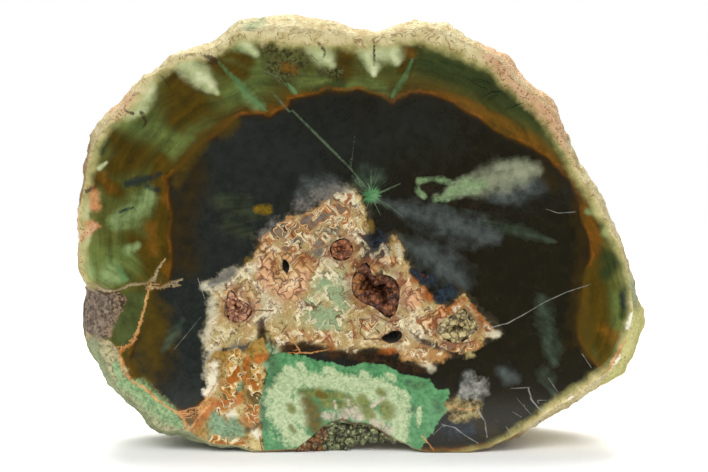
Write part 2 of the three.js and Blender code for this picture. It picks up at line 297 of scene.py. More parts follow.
FLAKE: Points = (
    (634, 308), (640, 300), (655, 320), (655, 360), (630, 390), (606, 398), (600, 392), (612, 372),
    (622, 350), (632, 330),
)

# How wide the pale rind is along the rim of the polished face: column, row and width.
RIND_WIDTHS: Stroke = (
    (92, 150, 2), (84, 180, 3), (82, 250, 4), (84, 280, 2), (84, 300, -9), (84, 330, -9), (110, 380, -9),
    (150, 420, -9), (200, 445, -9), (262, 455, -9), (330, 430, -9), (400, 450, -9), (440, 450, -6),
    (480, 448, -1), (530, 425, 3), (570, 400, 5), (600, 390, 4), (630, 350, 0), (636, 300, 1),
    (628, 275, -3), (620, 250, 1), (600, 200, 5), (570, 150, 7), (540, 100, 10), (500, 60, 11),
    (450, 38, 12), (400, 35, 10), (345, 35, 11), (290, 28, 11), (240, 35, 7), (200, 58, 4), (160, 75, 4),
    (125, 105, 8), (100, 130, 3),
)


class Grain(Enum):
    """How the two colours of a layer mix."""

    MOTTLED = "mottled"
    STREAKED = "streaked"
    RADIAL = "radial"
    SPECKLED = "speckled"
    SOFT = "soft"


@dataclass(frozen=True)
class Layer:
    """Two colours of the stone's surface and the brush strokes where they lie.

    Attributes:
        name: The layer's name.
        low: Its darker colour.
        high: Its lighter colour.
        strokes: Column, row and half width of each point, in points of the picture.
        soft: How far its edge fades to each side, in half widths.
        wander: How much its edge wanders.
        ragged: How ragged its edge is.
        spread: How much its edge follows the rays of the wood.
        strength: How much it covers.
        grain: How its two colours mix.
    """

    name: str
    low: str
    high: str
    strokes: tuple[Stroke, ...]
    soft: float
    wander: float
    ragged: float
    spread: float = 0.0
    strength: float = 0.9
    grain: Grain = Grain.MOTTLED


@dataclass(frozen=True)
class Coat:
    """Two colours and where they lie along a value.

    Attributes:
        low: The darker colour.
        high: The lighter colour.
        start: The value at which the coat begins.
        full: The value at which it is in full.
        strength: How much it covers.
        grain: How its two colours mix.
    """

    low: str
    high: str
    start: float
    full: float
    strength: float = 1.0
    grain: Grain = Grain.MOTTLED


# Layers of the polished face, in the order in which they are laid.

SAPWOOD: tuple[Layer, ...] = (
    Layer("meadow", "455229", "6f7d3e", soft=1.1, wander=0.3, ragged=0.05, spread=0.3, strength=0.8,
          grain=Grain.STREAKED, strokes=(
        ((224, 46, 6), (240, 45, 8), (252, 56, 8), (262, 76, 8), (250, 90, 9), (228, 98, 9), (208, 100, 9)),
        ((118, 118, 8), (136, 130, 11), (160, 128, 10), (176, 138, 8)),
        ((205, 122, 7), (190, 140, 8), (170, 152, 7)),
        ((92, 250, 10), (104, 262, 12), (124, 258, 12), (140, 262, 8)),
        ((300, 84, 6), (318, 80, 7), (330, 84, 6), (372, 84, 7), (382, 90, 6)),
        ((616, 298, 5), (617, 318, 5), (615, 336, 4)), ((596, 352, 4), (606, 362, 5)),
        ((488, 64, 6), (510, 86, 6), (535, 106, 6), (556, 130, 6), (570, 155, 5), (585, 180, 4)),
    )),
    Layer("olive_brown", "332806", "55420d", soft=0.8, wander=0.25, ragged=0.04, spread=0.2, strength=0.95,
          grain=Grain.STREAKED, strokes=(
        ((170, 64, 6), (174, 76, 12), (184, 92, 20), (196, 104, 20), (178, 118, 12)),
        ((208, 60, 4), (216, 64, 6), (228, 70, 7), (244, 74, 6)),
        ((222, 54, 5), (236, 52, 6), (248, 62, 7)),
        ((112, 136, 8), (128, 150, 14), (142, 156, 12), (116, 168, 10)),
        ((160, 160, 9), (166, 190, 10), (162, 230, 10), (168, 268, 8)),
        ((262, 46, 4), (276, 44, 5), (292, 42, 6), (306, 50, 5)),
        ((336, 42, 4), (346, 54, 9), (342, 74, 9)), ((356, 46, 4), (362, 43, 4)),
        ((402, 46, 4), (408, 56, 7), (404, 70, 6), (420, 46, 4)),
        ((592, 268, 5), (597, 290, 9), (600, 320, 11), (604, 346, 10), (604, 362, 6)),
        ((132, 240, 7), (146, 250, 9), (150, 268, 8)), ((96, 178, 5), (112, 186, 7), (118, 192, 6)),
    )),
    Layer("mottled", "2a2713", "5d5f33", soft=0.7, wander=0.25, ragged=0.15,
          grain=Grain.SPECKLED, strokes=(
        ((268, 50, 7), (284, 50, 12), (300, 60, 11), (286, 72, 12), (272, 66, 8)),
        ((322, 72, 5), (340, 72, 5)),
    )),
    Layer("dark_green", "1c2612", "3b4621", soft=0.9, wander=0.25, ragged=0.06, spread=0.35, strength=0.92,
          grain=Grain.STREAKED, strokes=(
        ((412, 52, 5), (424, 62, 12), (452, 68, 15), (480, 80, 15), (506, 98, 13), (530, 114, 9),
        (550, 132, 7)), ((554, 140, 6), (566, 158, 4)), ((600, 252, 5), (614, 262, 7), (606, 274, 6)),
        ((596, 222, 4), (602, 226, 3)), ((626, 292, 5), (628, 304, 5), (624, 316, 4)),
        ((318, 92, 4), (340, 84, 5)), ((102, 152, 3), (108, 140, 3)),
    )),
    Layer("amber", "553608", "7c581b", soft=1, wander=0.4, ragged=0.1, spread=0.2, strength=0.7,
          grain=Grain.STREAKED, strokes=(
        ((440, 93, 2), (466, 104, 4), (490, 117, 5), (516, 131, 6), (540, 148, 5), (556, 164, 5),
        (570, 182, 5)), ((580, 200, 4), (590, 214, 7), (594, 240, 8), (590, 254, 5)),
        ((584, 290, 4), (582, 306, 5), (578, 324, 5)), ((230, 128, 6), (208, 143, 6)),
        ((172, 184, 4), (165, 200, 4)), ((166, 268, 5), (178, 280, 6)), ((102, 176, 5), (112, 188, 5)),
        ((404, 50, 4), (412, 54, 4)), ((150, 226, 5), (154, 250, 5)), ((606, 330, 5), (614, 336, 6)),
        ((286, 68, 4), (294, 70, 4)),
    )),
    Layer("orange_edge", "4c2a06", "7d5217", soft=1.3, wander=0.6, ragged=0.1, spread=0.25, strength=0.65,
          grain=Grain.STREAKED, strokes=(
        ((182, 172, 4), (192, 156, 5), (204, 144, 6), (220, 133, 6), (234, 124, 5), (248, 114, 5),
        (262, 117, 4)), ((262, 117, 4), (282, 109, 4), (292, 100, 3)),
        ((404, 99, 2), (420, 93, 2), (440, 95, 3)), ((588, 216, 4), (594, 236, 5), (596, 254, 4)),
        ((578, 196, 4), (584, 208, 4)),
    )),
    Layer("leaf", "667d4a", "94a871", soft=1.1, wander=0.3, ragged=0.05, spread=0.35, strength=0.7,
          grain=Grain.STREAKED, strokes=(
        ((150, 190, 4), (147, 202, 8), (132, 214, 8), (116, 222, 6)),
        ((112, 268, 6), (106, 277, 7), (118, 278, 5)), ((234, 44, 6), (244, 46, 5)),
        ((588, 211, 3), (597, 210, 5)), ((246, 96, 5), (258, 106, 5)), ((84, 262, 6), (90, 276, 5)),
        ((612, 226, 4), (606, 232, 4)), ((128, 250, 4), (136, 246, 3)),
    )),
    Layer("pale_lobe", "9da870", "d5d8ae", soft=1.1, wander=0.15, ragged=0, spread=0.1, strength=1,
          grain=Grain.SOFT, strokes=(
        ((180, 62, 6), (190, 67, 8), (200, 76, 8), (210, 86, 5), (218, 93, 2)),
        ((142, 80, 7), (149, 87, 6), (146, 97, 7), (140, 107, 6), (128, 116, 4)),
        ((306, 41, 5), (316, 50, 7), (325, 58, 7), (332, 66, 3)),
        ((240, 40, 4), (248, 46, 5), (256, 54, 3)),
        ((364, 46, 6), (378, 50, 9), (392, 52, 8), (396, 62, 3)),
        ((366, 56, 5), (373, 66, 5), (374, 75, 2)),
        ((94, 198, 4), (84, 212, 4), (86, 240, 3), (82, 250, 3)), ((100, 168, 2), (108, 162, 1)),
    )),
    Layer("mint", "3f6038", "6d935f", soft=1, wander=0.5, ragged=0.4, spread=0.4, strength=0.7,
          grain=Grain.RADIAL, strokes=(
        ((219, 62, 1), (228, 72, 1.8), (240, 84, 2.6), (250, 96, 3), (260, 105, 2.4), (267, 112, 1)),
        ((412, 60, 1), (406, 74, 1.8), (399, 87, 2.6), (392, 97, 1.8)),
        ((288, 84, 1), (293, 90, 2.2), (297, 95, 1)), ((120, 270, 3), (124, 278, 3)),
    )),
    Layer("navy", "111b22", "26302c", soft=0.9, wander=0.7, ragged=0.6, spread=0.3, strength=0.75, strokes=(
        ((127, 184, 2.5), (140, 181, 4), (152, 178, 3.5), (160, 173, 2)),
        ((148, 186, 2.5), (158, 190, 2.5)), ((623, 296, 2.5), (626, 306, 3)),
        ((132, 208, 1.5), (120, 212, 1)),
    )),
    Layer("peach", "a8683c", "cf9a68", soft=0.8, wander=0.4, ragged=0.2, strokes=(
        ((93, 190, 5), (95, 206, 5)), ((264, 34, 4), (269, 37, 4), (276, 31, 4), (283, 33, 5)),
        ((236, 31, 3), (242, 29, 3)), ((86, 224, 4), (97, 226, 3)), ((416, 33, 5), (426, 34, 5)),
        ((617, 234, 3), (620, 238, 2)),
    )),
)

HEARTWOOD_HAZES: tuple[Layer, ...] = (
    Layer("smoke", "1f211d", "2b2f2b", soft=1.5, wander=0.5, ragged=0, spread=0.2, strength=0.45,
          grain=Grain.SOFT, strokes=(
        ((216, 152, 16), (250, 156, 22), (290, 168, 20), (320, 176, 10)), ((230, 250, 12), (212, 280, 10)),
        ((400, 120, 20), (440, 130, 20), (350, 150, 16)), ((490, 196, 12), (516, 194, 14), (540, 186, 12)),
        ((506, 372, 6), (512, 378, 6)), ((560, 180, 10), (572, 200, 8)),
    )),
    Layer("haze", "3a403c", "5a6260", soft=1.5, wander=0.5, ragged=0, spread=0.25, strength=0.75,
          grain=Grain.SOFT, strokes=(
        ((380, 200, 2), (396, 206, 4), (418, 214, 8), (442, 222, 11), (470, 230, 11), (494, 236, 6)),
        ((400, 240, 4), (418, 248, 7), (440, 262, 11), (458, 276, 9), (466, 288, 4)),
        ((496, 196, 6), (514, 190, 9), (534, 182, 8)), ((300, 196, 4), (310, 186, 6), (336, 184, 5)),
        ((504, 374, 4), (510, 378, 5), (518, 380, 3)), ((470, 378, 4), (466, 386, 4)),
    )),
    Layer("brown_glow", "251d0b", "3a2d0e", soft=1.5, wander=0.5, ragged=0, strength=0.75,
          grain=Grain.SOFT, strokes=(
        ((574, 200, 4), (582, 250, 4), (576, 300, 5), (576, 340, 7)),
        ((196, 168, 10), (182, 220, 10), (186, 262, 10)), ((152, 306, 9), (156, 340, 13), (160, 372, 10)),
        ((470, 425, 8), (500, 436, 6)), ((446, 404, 6), (462, 414, 7)), ((468, 296, 4), (455, 290, 4)),
        ((536, 168, 6), (556, 184, 6)),
    )),
    Layer("honey", "3f330d", "57450f", soft=1.5, wander=0.5, ragged=0, spread=0.2, strength=0.7,
          grain=Grain.SOFT, strokes=(
        ((148, 300, 7), (150, 322, 13), (148, 346, 13), (146, 366, 9)),
        ((132, 366, 5), (142, 380, 5), (154, 394, 4)),
        ((206, 136, 5), (196, 150, 5), (186, 164, 5), (176, 182, 4)), ((236, 124, 4), (222, 132, 5)),
        ((590, 270, 3), (586, 300, 4), (584, 330, 5), (592, 356, 4)),
    )),
    Layer("moss", "23271a", "424b33", soft=1.2, wander=0.6, ragged=0.1, spread=0.4, strength=0.6,
          grain=Grain.RADIAL, strokes=(
        ((222, 202, 7), (238, 208, 10), (256, 214, 8)), ((228, 224, 6), (244, 230, 6)),
    )),
    Layer("sheen", "2b382c", "5a6b56", soft=1.3, wander=0.5, ragged=0.1, spread=0.3, strength=0.45,
          grain=Grain.RADIAL, strokes=(
        ((484, 221, 1.5), (500, 227, 4), (520, 231, 5), (540, 237, 3), (556, 242, 1)),
        ((540, 300, 4), (546, 314, 7), (550, 335, 6), (553, 352, 6), (556, 364, 3)),
        ((544, 374, 5), (551, 381, 4)), ((182, 320, 2), (172, 336, 4), (162, 352, 2)),
        ((364, 168, 4), (360, 182, 6), (378, 176, 5)), ((541, 382, 1), (556, 396, 2)),
    )),
    Layer("cloud", "7c8468", "999a80", soft=1.3, wander=0.35, ragged=0, spread=0.15,
          grain=Grain.SOFT, strokes=(
        ((436, 194, 2), (450, 191, 4), (466, 187, 6), (486, 181, 9), (506, 176, 10), (524, 172, 8)),
        ((500, 168, 5), (520, 166, 6), (534, 170, 5)),
    )),
    Layer("cloud_green", "5f7850", "93ab7c", soft=1, wander=0.5, ragged=0.25, spread=0.4, strength=0.8,
          strokes=(
        ((440, 196, 2), (452, 191, 5), (466, 186, 6), (484, 184, 4)),
        ((420, 182, 3), (432, 179, 2), (444, 181, 3)), ((419, 190, 3), (424, 197, 2)),
        ((436, 198, 3), (448, 199, 2)),
    )),
    Layer("dark_eye", "12130c", "2a2216", soft=0.5, wander=0.2, ragged=0.4, strength=0.95, strokes=(
        ((424, 187, 4), (432, 187, 6), (440, 190, 5)), ((362, 226, 3), (366, 234, 4)),
        ((376, 222, 4), (374, 234, 4)), ((450, 204, 2), (475, 206, 4), (500, 208, 3)),
    )),
    Layer("blue_black", "10151a", "303b44", soft=0.7, wander=0.5, ragged=0.25, strength=0.85, strokes=(
        ((364, 240, 4), (372, 250, 8), (380, 240, 6), (384, 252, 5)), ((440, 298, 5), (450, 292, 6)),
        ((414, 276, 5), (430, 280, 6)), ((356, 252, 3), (362, 258, 3)), ((450, 430, 8), (470, 432, 7)),
    )),
    Layer("amber_spot", "5d4a10", "8a6d1c", soft=0.6, wander=0.2, ragged=0.1, strokes=(
        ((258, 209, 4), (268, 209, 4.5)), ((370, 222, 3), (371, 231, 3)), ((247, 260, 3), (247, 265, 3)),
    )),
    Layer("low_patch", "77766b", "b0afa8", soft=1.1, wander=0.7, ragged=0.4, strength=0.8, strokes=(
        ((464, 392, 4), (474, 386, 7), (484, 392, 5), (468, 394, 6)),
    )),
    Layer("low_ochre", "6c5218", "b3a777", soft=0.9, wander=0.7, ragged=0.4, strength=0.8, strokes=(
        ((448, 408, 5), (462, 408, 5), (474, 410, 6), (478, 416, 3)), ((452, 420, 3), (464, 420, 4)),
        ((524, 433, 3), (534, 423, 3), (546, 413, 2)),
    )),
)

CORE_LAYERS: tuple[Layer, ...] = (
    Layer("fringe", "a9a181", "ddd5bb", soft=1, wander=0.9, ragged=0.25, strength=0.8, grain=Grain.SOFT,
          strokes=(
        ((207, 288, 4), (222, 284, 7), (240, 276, 6), (256, 266, 4)),
        ((214, 300, 4), (212, 320, 5), (206, 338, 5)), ((212, 350, 6), (208, 372, 5), (212, 388, 4)),
        ((262, 298, 7), (276, 304, 8), (262, 320, 6)), ((330, 262, 6), (340, 274, 9), (350, 290, 4)),
        ((360, 322, 5), (380, 324, 7), (408, 326, 7), (424, 340, 5)), ((400, 346, 4), (408, 354, 5)),
        ((426, 364, 4), (432, 370, 3)), ((490, 334, 3), (497, 334, 3)),
        ((356, 205, 3), (352, 196, 4), (344, 190, 4)), ((396, 246, 3), (400, 256, 3)),
    )),
    Layer("straw", "94844f", "c2b480", soft=0.8, wander=0.9, ragged=0.4, strokes=(
        ((244, 284, 8), (252, 294, 6)), ((222, 334, 8), (232, 338, 8)), ((338, 268, 5), (345, 272, 4)),
        ((384, 268, 5), (392, 274, 6)), ((284, 322, 7), (300, 322, 6), (345, 330, 6)),
        ((366, 330, 6), (386, 320, 5)), ((268, 336, 4), (256, 342, 5)), ((340, 312, 6), (345, 324, 6)),
        ((416, 290, 3), (470, 352, 5)),
    )),
    Layer("sage", "638c69", "a7b68a", soft=0.8, wander=0.8, ragged=0.4, strength=0.85, strokes=(
        ((322, 284, 10), (336, 292, 12), (340, 304, 9)), ((312, 302, 6), (314, 316, 9), (330, 318, 8)),
        ((336, 325, 6), (320, 326, 6)), ((266, 348, 4), (272, 352, 5)),
    )),
    Layer("smoky", "3f3d3a", "78746c", soft=0.9, wander=0.7, ragged=0.3, strength=0.85, strokes=(
        ((304, 206, 8), (318, 194, 9), (338, 190, 7)), ((264, 236, 6), (276, 228, 7), (288, 222, 5)),
        ((288, 240, 5), (296, 240, 6), (292, 248, 5)), ((322, 244, 8), (332, 234, 7), (316, 254, 6)),
        ((212, 284, 3), (232, 274, 4)), ((240, 350, 7), (232, 354, 5), (256, 348, 5)),
        ((424, 346, 3), (450, 352, 4)),
    )),
    Layer("rose", "b57a5a", "ddb090", soft=0.7, wander=0.8, ragged=0.4, strength=0.85, strokes=(
        ((264, 264, 7), (268, 282, 8), (284, 292, 11), (300, 284, 8), (306, 272, 5)),
        ((404, 284, 6), (412, 300, 9)), ((232, 300, 4), (256, 306, 4)), ((308, 234, 4), (312, 222, 4)),
        ((346, 246, 4), (345, 252, 4)),
    )),
    Layer("tan", "8f602c", "bf9058", soft=0.7, wander=0.8, ragged=0.5, strength=0.85, strokes=(
        ((290, 222, 5), (298, 228, 5), (306, 232, 6)), ((310, 218, 5), (324, 212, 7), (334, 208, 5)),
        ((286, 258, 5), (298, 262, 7), (310, 268, 6)),
        ((406, 354, 7), (424, 354, 8), (440, 356, 7), (448, 350, 6)), ((474, 346, 6), (468, 342, 5)),
        ((368, 274, 4), (376, 264, 4), (380, 256, 1.5)), ((362, 284, 5), (364, 292, 5)),
        ((290, 334, 5), (310, 340, 5), (330, 336, 5)), ((440, 316, 4), (456, 310, 4), (464, 302, 3)),
    )),
    Layer("rust", "6f3210", "ae652e", soft=0.8, wander=1.1, ragged=0.7, strength=0.85, strokes=(
        ((348, 196, 3), (346, 208, 3), (350, 222, 3), (354, 236, 3)),
        ((262, 244, 4), (272, 250, 4), (280, 254, 3)), ((388, 250, 3), (392, 262, 4), (386, 258, 3)),
        ((420, 324, 4), (430, 324, 6), (440, 316, 5), (434, 332, 4)), ((414, 280, 4), (424, 276, 3)),
        ((422, 292, 4), (428, 298, 4)), ((354, 264, 3), (352, 278, 3)),
        ((440, 314, 2), (452, 308, 2.5), (464, 300, 2)), ((472, 306, 2), (482, 320, 2.5), (490, 330, 2.5)),
        ((276, 262, 3), (272, 290, 3)), ((328, 338, 4), (331, 348, 4)), ((352, 322, 2), (356, 338, 2)),
        ((286, 344, 3), (294, 352, 2)), ((304, 258, 3), (318, 262, 3)), ((394, 352, 3), (380, 354, 3)),
    )),
    Layer("ink", "0c1016", "2f3840", soft=0.6, wander=0.4, ragged=0.4, strength=0.95, strokes=(
        ((363, 238, 6), (371, 245, 11), (381, 245, 10), (386, 252, 6)), ((366, 256, 6), (378, 258, 6)),
        ((440, 296, 5), (450, 292, 6)), ((412, 272, 3), (424, 280, 4)),
    )),
    Layer("shade", "150f0a", "3d2a16", soft=0.8, wander=0.8, ragged=0.5, strokes=(
        ((278, 344, 4), (288, 348, 5), (298, 350, 4)), ((302, 346, 5), (318, 350, 5)),
        ((330, 356, 3), (345, 355, 6)), ((358, 356, 6), (376, 358, 6), (390, 362, 4)),
        ((394, 366, 4), (408, 370, 4), (424, 372, 3)), ((355, 268, 3), (362, 264, 4), (358, 272, 3)),
        ((380, 256, 1.5), (384, 280, 3), (378, 276, 3)), ((342, 240, 3), (340, 244, 2)),
        ((250, 304, 3), (246, 312, 2), (240, 320, 1.5)), ((309, 216, 2), (306, 222, 2)),
        ((284, 264, 3), (286, 270, 3)), ((407, 308, 2), (408, 314, 1)), ((442, 322, 2), (440, 330, 2)),
        ((418, 340, 2), (436, 346, 3), (456, 354, 3)), ((262, 324, 4), (262, 342, 4), (256, 352, 4)),
    )),
)

STAINS: tuple[Layer, ...] = (
    Layer("stain", "42200f", "9a5a2e", soft=1, wander=1.3, ragged=0.9, strength=0.5, strokes=(
        ((348, 276, 2), (350, 296, 3), (362, 307, 3), (378, 318, 3), (392, 321, 3), (402, 310, 3),
        (404, 290, 3)),
        ((404, 290, 3), (398, 274, 3), (386, 268, 3), (372, 262, 4), (358, 264, 4), (352, 276, 3)),
        ((223, 300, 2), (223, 314, 2.5), (232, 323, 2.5), (246, 321, 3), (254, 308, 3), (246, 297, 2.5),
        (234, 287, 2.5)), ((437, 322, 2.5), (435, 332, 2.5), (443, 343, 2), (460, 347, 2), (474, 343, 2),
        (482, 326, 2.5), (466, 308, 2)),
        ((328, 244, 2), (328, 256, 2), (340, 263, 2), (353, 260, 2.5), (356, 246, 2.5), (344, 235, 3)),
        ((380, 340, 2), (394, 328, 1.5), (404, 332, 2), (398, 345, 2)),
    )),
)

CORNER: tuple[Layer, ...] = (
    Layer("corner_straw", "a08a4c", "d2c08a", soft=0.7, wander=0.9, ragged=0.6, strokes=(
        ((240, 358, 6), (236, 368, 7), (226, 378, 6)), ((220, 392, 5), (216, 402, 4)),
        ((252, 444, 6), (258, 452, 5)), ((262, 370, 5), (258, 384, 5)), ((240, 408, 6), (236, 416, 5)),
        ((214, 440, 5), (232, 450, 6)),
    )),
    Layer("corner_white", "cbc2a4", "e6dfca", soft=0.9, wander=0.9, ragged=0.3, strokes=(
        ((214, 366, 5), (212, 384, 5), (206, 396, 3)), ((228, 410, 4), (230, 416, 4)),
        ((256, 436, 4), (252, 430, 3)),
    )),
    Layer("corner_rust", "8f4312", "c27936", soft=0.6, wander=0.9, ragged=0.6, strokes=(
        ((204, 418, 4), (212, 406, 5), (226, 404, 5), (238, 400, 5)), ((196, 428, 3), (204, 412, 3)),
        ((246, 362, 4), (244, 376, 4), (252, 390, 4)), ((252, 424, 5), (246, 418, 3)),
        ((232, 372, 3), (228, 386, 3)), ((190, 420, 4), (180, 416, 3)), ((266, 446, 3), (271, 448, 3)),
        ((258, 360, 4), (264, 358, 3)),
    )),
    Layer("corner_dark", "3a2a10", "6b5a2a", soft=0.6, wander=0.9, ragged=0.6, strokes=(
        ((222, 392, 3), (226, 398, 3)), ((241, 386, 2), (241, 390, 2)), ((250, 396, 4), (256, 404, 4)),
        ((188, 420, 4), (190, 424, 3)), ((246, 432, 3), (262, 424, 2)), ((240, 376, 2), (244, 370, 2)),
    )),
    Layer("corner_mint", "55795a", "8ba986", soft=0.6, wander=0.4, ragged=0.25, strength=0.85,
          grain=Grain.SPECKLED, strokes=(
        ((214, 416, 4), (216, 428, 9), (228, 434, 9)), ((238, 434, 6), (232, 426, 6)),
        ((268, 366, 5), (272, 376, 4)), ((212, 442, 5), (224, 444, 5)), ((238, 384, 3), (238, 390, 3)),
        ((272, 432, 5), (276, 442, 5)),
    )),
)

BLOCK: tuple[Layer, ...] = (
    Layer("block_shadow", "33503a", "5f8156", soft=0.9, wander=0.6, ragged=0.4, strength=0.8,
          grain=Grain.SPECKLED, strokes=(
        ((272, 362, 5), (276, 376, 5), (268, 392, 5)), ((262, 400, 3), (264, 430, 3)),
        ((408, 384, 3), (418, 388, 3)), ((410, 410, 4), (414, 412, 3)), ((436, 404, 3), (440, 412, 3)),
        ((424, 386, 3), (420, 386, 3)),
    )),
    Layer("block_pale", "97a97e", "b9c59c", soft=0.45, wander=0.5, ragged=0.3, strength=0.95,
          grain=Grain.SPECKLED, strokes=(
        ((300, 366, 4), (304, 374, 4)),
        ((288, 372, 5), (296, 380, 8), (281, 394, 13), (282, 416, 15), (290, 436, 12), (306, 447, 8)),
        ((312, 384, 9), (340, 384, 9), (372, 386, 9), (392, 394, 9)), ((326, 372, 4), (334, 374, 4)),
        ((398, 408, 10), (398, 426, 10), (402, 441, 7)), ((420, 410, 2.5), (419, 428, 2)),
        ((362, 374, 3), (366, 378, 4)), ((300, 400, 8), (302, 420, 8)),
        ((350, 392, 6), (370, 396, 6), (384, 402, 6)), ((380, 424, 6), (340, 396, 4)),
        ((404, 396, 5), (408, 400, 3)), ((388, 376, 2), (394, 380, 3)),
    )),
    Layer("block_olive", "4a5020", "858c4c", soft=0.9, wander=0.5, ragged=0.3, strokes=(
        ((300, 394, 3), (314, 394, 5), (336, 397, 4), (350, 399, 2)), ((324, 404, 5), (332, 405, 4)),
        ((339, 406, 5), (345, 407, 5)), ((353, 406, 4), (355, 411, 4)),
        ((362, 402, 5), (366, 412, 6), (371, 419, 4)), ((384, 407, 5), (389, 415, 6)),
        ((380, 394, 3), (384, 396, 3)), ((290, 408, 3), (292, 412, 3)), ((290, 428, 2), (294, 434, 2)),
    )),
    Layer("block_brown", "453a12", "6b5c1c", soft=0.8, wander=0.4, ragged=0.2, strokes=(
        ((306, 402, 5), (312, 412, 8), (315, 424, 7), (314, 432, 4)), ((318, 396, 3), (326, 398, 2)),
    )),
    Layer("hollow_shade", "120e08", "3a2c18", soft=0.8, wander=0.5, ragged=0.4, strokes=(
        ((316, 440, 2), (324, 432, 3), (336, 428, 3.5), (350, 427, 2.5), (366, 430, 2), (384, 436, 2),
        (397, 445, 1.6)), ((330, 428, 3), (338, 426, 3)),
    )),
    Layer("block_white", "9d8f7c", "cfc7b2", soft=0.8, wander=0.6, ragged=0.4, strength=0.85, strokes=(
        ((342, 418, 5), (352, 414, 5), (358, 420, 4)), ((326, 418, 4), (334, 420, 4)),
        ((374, 424, 3), (388, 432, 4)), ((372, 408, 1.5), (378, 404, 1.5), (384, 400, 1.5)),
        ((334, 402, 1), (336, 410, 1)), ((348, 402, 1), (349, 412, 1)),
    )),
)

RIM: tuple[Layer, ...] = (
    Layer("band_mint", "5f8458", "97ad7c", soft=0.7, wander=0.4, ragged=0.25,
          grain=Grain.SPECKLED, strokes=(
        ((120, 384, 6), (134, 390, 8), (148, 402, 10), (164, 416, 9), (178, 426, 5)),
        ((114, 366, 3), (118, 376, 4)),
    )),
    Layer("chalk", "c2b078", "e2d9ae", soft=0.9, wander=0.3, ragged=0.1, strength=0.8, grain=Grain.SOFT,
          strokes=(
        ((240, 28, 7), (262, 26, 13), (290, 25, 12), (318, 28, 13), (345, 30, 9), (372, 36, 7),
        (398, 33, 9)), ((398, 33, 9), (430, 28, 12), (455, 38, 10), (476, 48, 9), (500, 58, 9)),
        ((180, 56, 5), (205, 54, 6), (222, 42, 6)),
        ((148, 74, 6), (136, 92, 8), (122, 106, 8), (106, 118, 6)),
        ((606, 204, 4), (614, 224, 5), (622, 246, 3)), ((636, 290, 4), (636, 304, 4)),
        ((578, 408, 4), (560, 414, 4), (545, 420, 4)), ((588, 398, 4), (572, 402, 4)),
    )),
    Layer("pinkish", "b98560", "d9b48e", soft=1, wander=0.4, ragged=0.15, strength=0.85, strokes=(
        ((488, 54, 6), (500, 66, 7), (516, 82, 8), (532, 96, 8), (548, 112, 8), (560, 132, 6),
        (570, 150, 4)), ((132, 96, 4), (120, 108, 5), (108, 118, 4)), ((300, 22, 4), (320, 30, 4)),
        ((95, 226, 3), (80, 240, 3)),
    )),
    Layer("flake_green", "a8a35c", "d4cf8c", soft=0.6, wander=0.3, ragged=0.3, strokes=(
        ((640, 318, 6), (642, 334, 8), (636, 350, 8), (630, 366, 6)),
    )),
    Layer("flake_white", "cfcbb2", "ecebdd", soft=0.6, wander=0.4, ragged=0.4, strokes=(
        ((634, 316, 3), (630, 328, 3)), ((620, 360, 4), (614, 374, 4)), ((572, 402, 3), (590, 396, 3)),
    )),
    Layer("fissure", "1d140c", "4a3520", soft=0.9, wander=0.8, ragged=0.9, strength=0.85, strokes=(
        ((80, 284, 1.2), (90, 290, 1.8), (104, 294, 1.6), (118, 291, 1.4)),
        ((86, 192, 1.8), (97, 186, 2.4)), ((126, 110, 1), (134, 114, 1.4)),
        ((142, 112, 1.4), (147, 122, 1.4), (144, 128, 1)), ((206, 56, 1.6), (217, 62, 2)),
        ((318, 43, 1), (325, 52, 1.4), (324, 58, 1.2)), ((374, 40, 0.8), (374, 66, 1)),
        ((560, 412, 1.4), (540, 424, 1.6)),
    )),
)

# Patches of the rough sides.
SIDES: tuple[Layer, ...] = (
    Layer("side_green", "707a55", "a3ab84", soft=0.8, wander=0.4, ragged=0.2, strength=0.85, strokes=(
        ((96, 350, 10), (112, 384, 12), (140, 416, 12), (170, 438, 12), (200, 448, 10)),
        ((634, 290, 8), (636, 304, 6)), ((215, 450, 8), (240, 456, 8)), ((400, 448, 6), (420, 454, 8)),
        ((262, 22, 5), (250, 28, 5)),
    )),
    Layer("side_brown", "5e4826", "937547", soft=0.8, wander=0.5, ragged=0.2, strength=0.8, strokes=(
        ((88, 132, 5), (82, 170, 6), (80, 200, 4)), ((262, 458, 9), (300, 452, 8)),
        ((430, 455, 8), (480, 450, 8)), ((500, 446, 7), (520, 438, 6)), ((76, 280, 5), (80, 292, 4)),
        ((556, 120, 5), (566, 136, 5)),
    )),
    Layer("side_pink", "bd9068", "dcbb93", soft=0.8, wander=0.4, ragged=0.2, strength=0.85, strokes=(
        ((486, 44, 7), (510, 60, 9), (530, 80, 9), (552, 102, 9), (566, 130, 7)),
        ((110, 108, 7), (126, 92, 7)), ((76, 232, 5), (80, 215, 4)),
    )),
)

# Where the core has lumps with dark outlines and painted highlights on their centres, and where stone has
# agate bands.
BANDED_PARTS: dict[str, tuple[Stroke, ...]] = {
    "lumpy": (
        ((264, 250, 8), (270, 274, 13), (288, 288, 15), (304, 270, 9)), ((404, 286, 6), (414, 304, 9)),
        ((430, 322, 7), (442, 312, 5)), ((230, 294, 7), (246, 288, 8), (256, 300, 5)),
        ((288, 258, 7), (304, 258, 6)), ((366, 272, 5), (378, 262, 5), (394, 262, 6)),
    ),
    "agate": (
        ((268, 240, 5), (284, 228, 8), (300, 234, 9), (310, 220, 8), (326, 214, 8), (342, 210, 7),
        (348, 224, 6)), ((288, 246, 7), (318, 240, 8), (332, 230, 8)),
        ((358, 322, 5), (384, 330, 7), (404, 324, 5)), ((444, 346, 4), (462, 350, 5), (474, 346, 4)),
    ),
    "corner_bands": (
        ((236, 356, 7), (232, 376, 10), (226, 396, 9), (222, 408, 8)),
        ((252, 372, 8), (254, 396, 8), (250, 420, 8)), ((214, 444, 7), (240, 450, 8)),
    ),
}

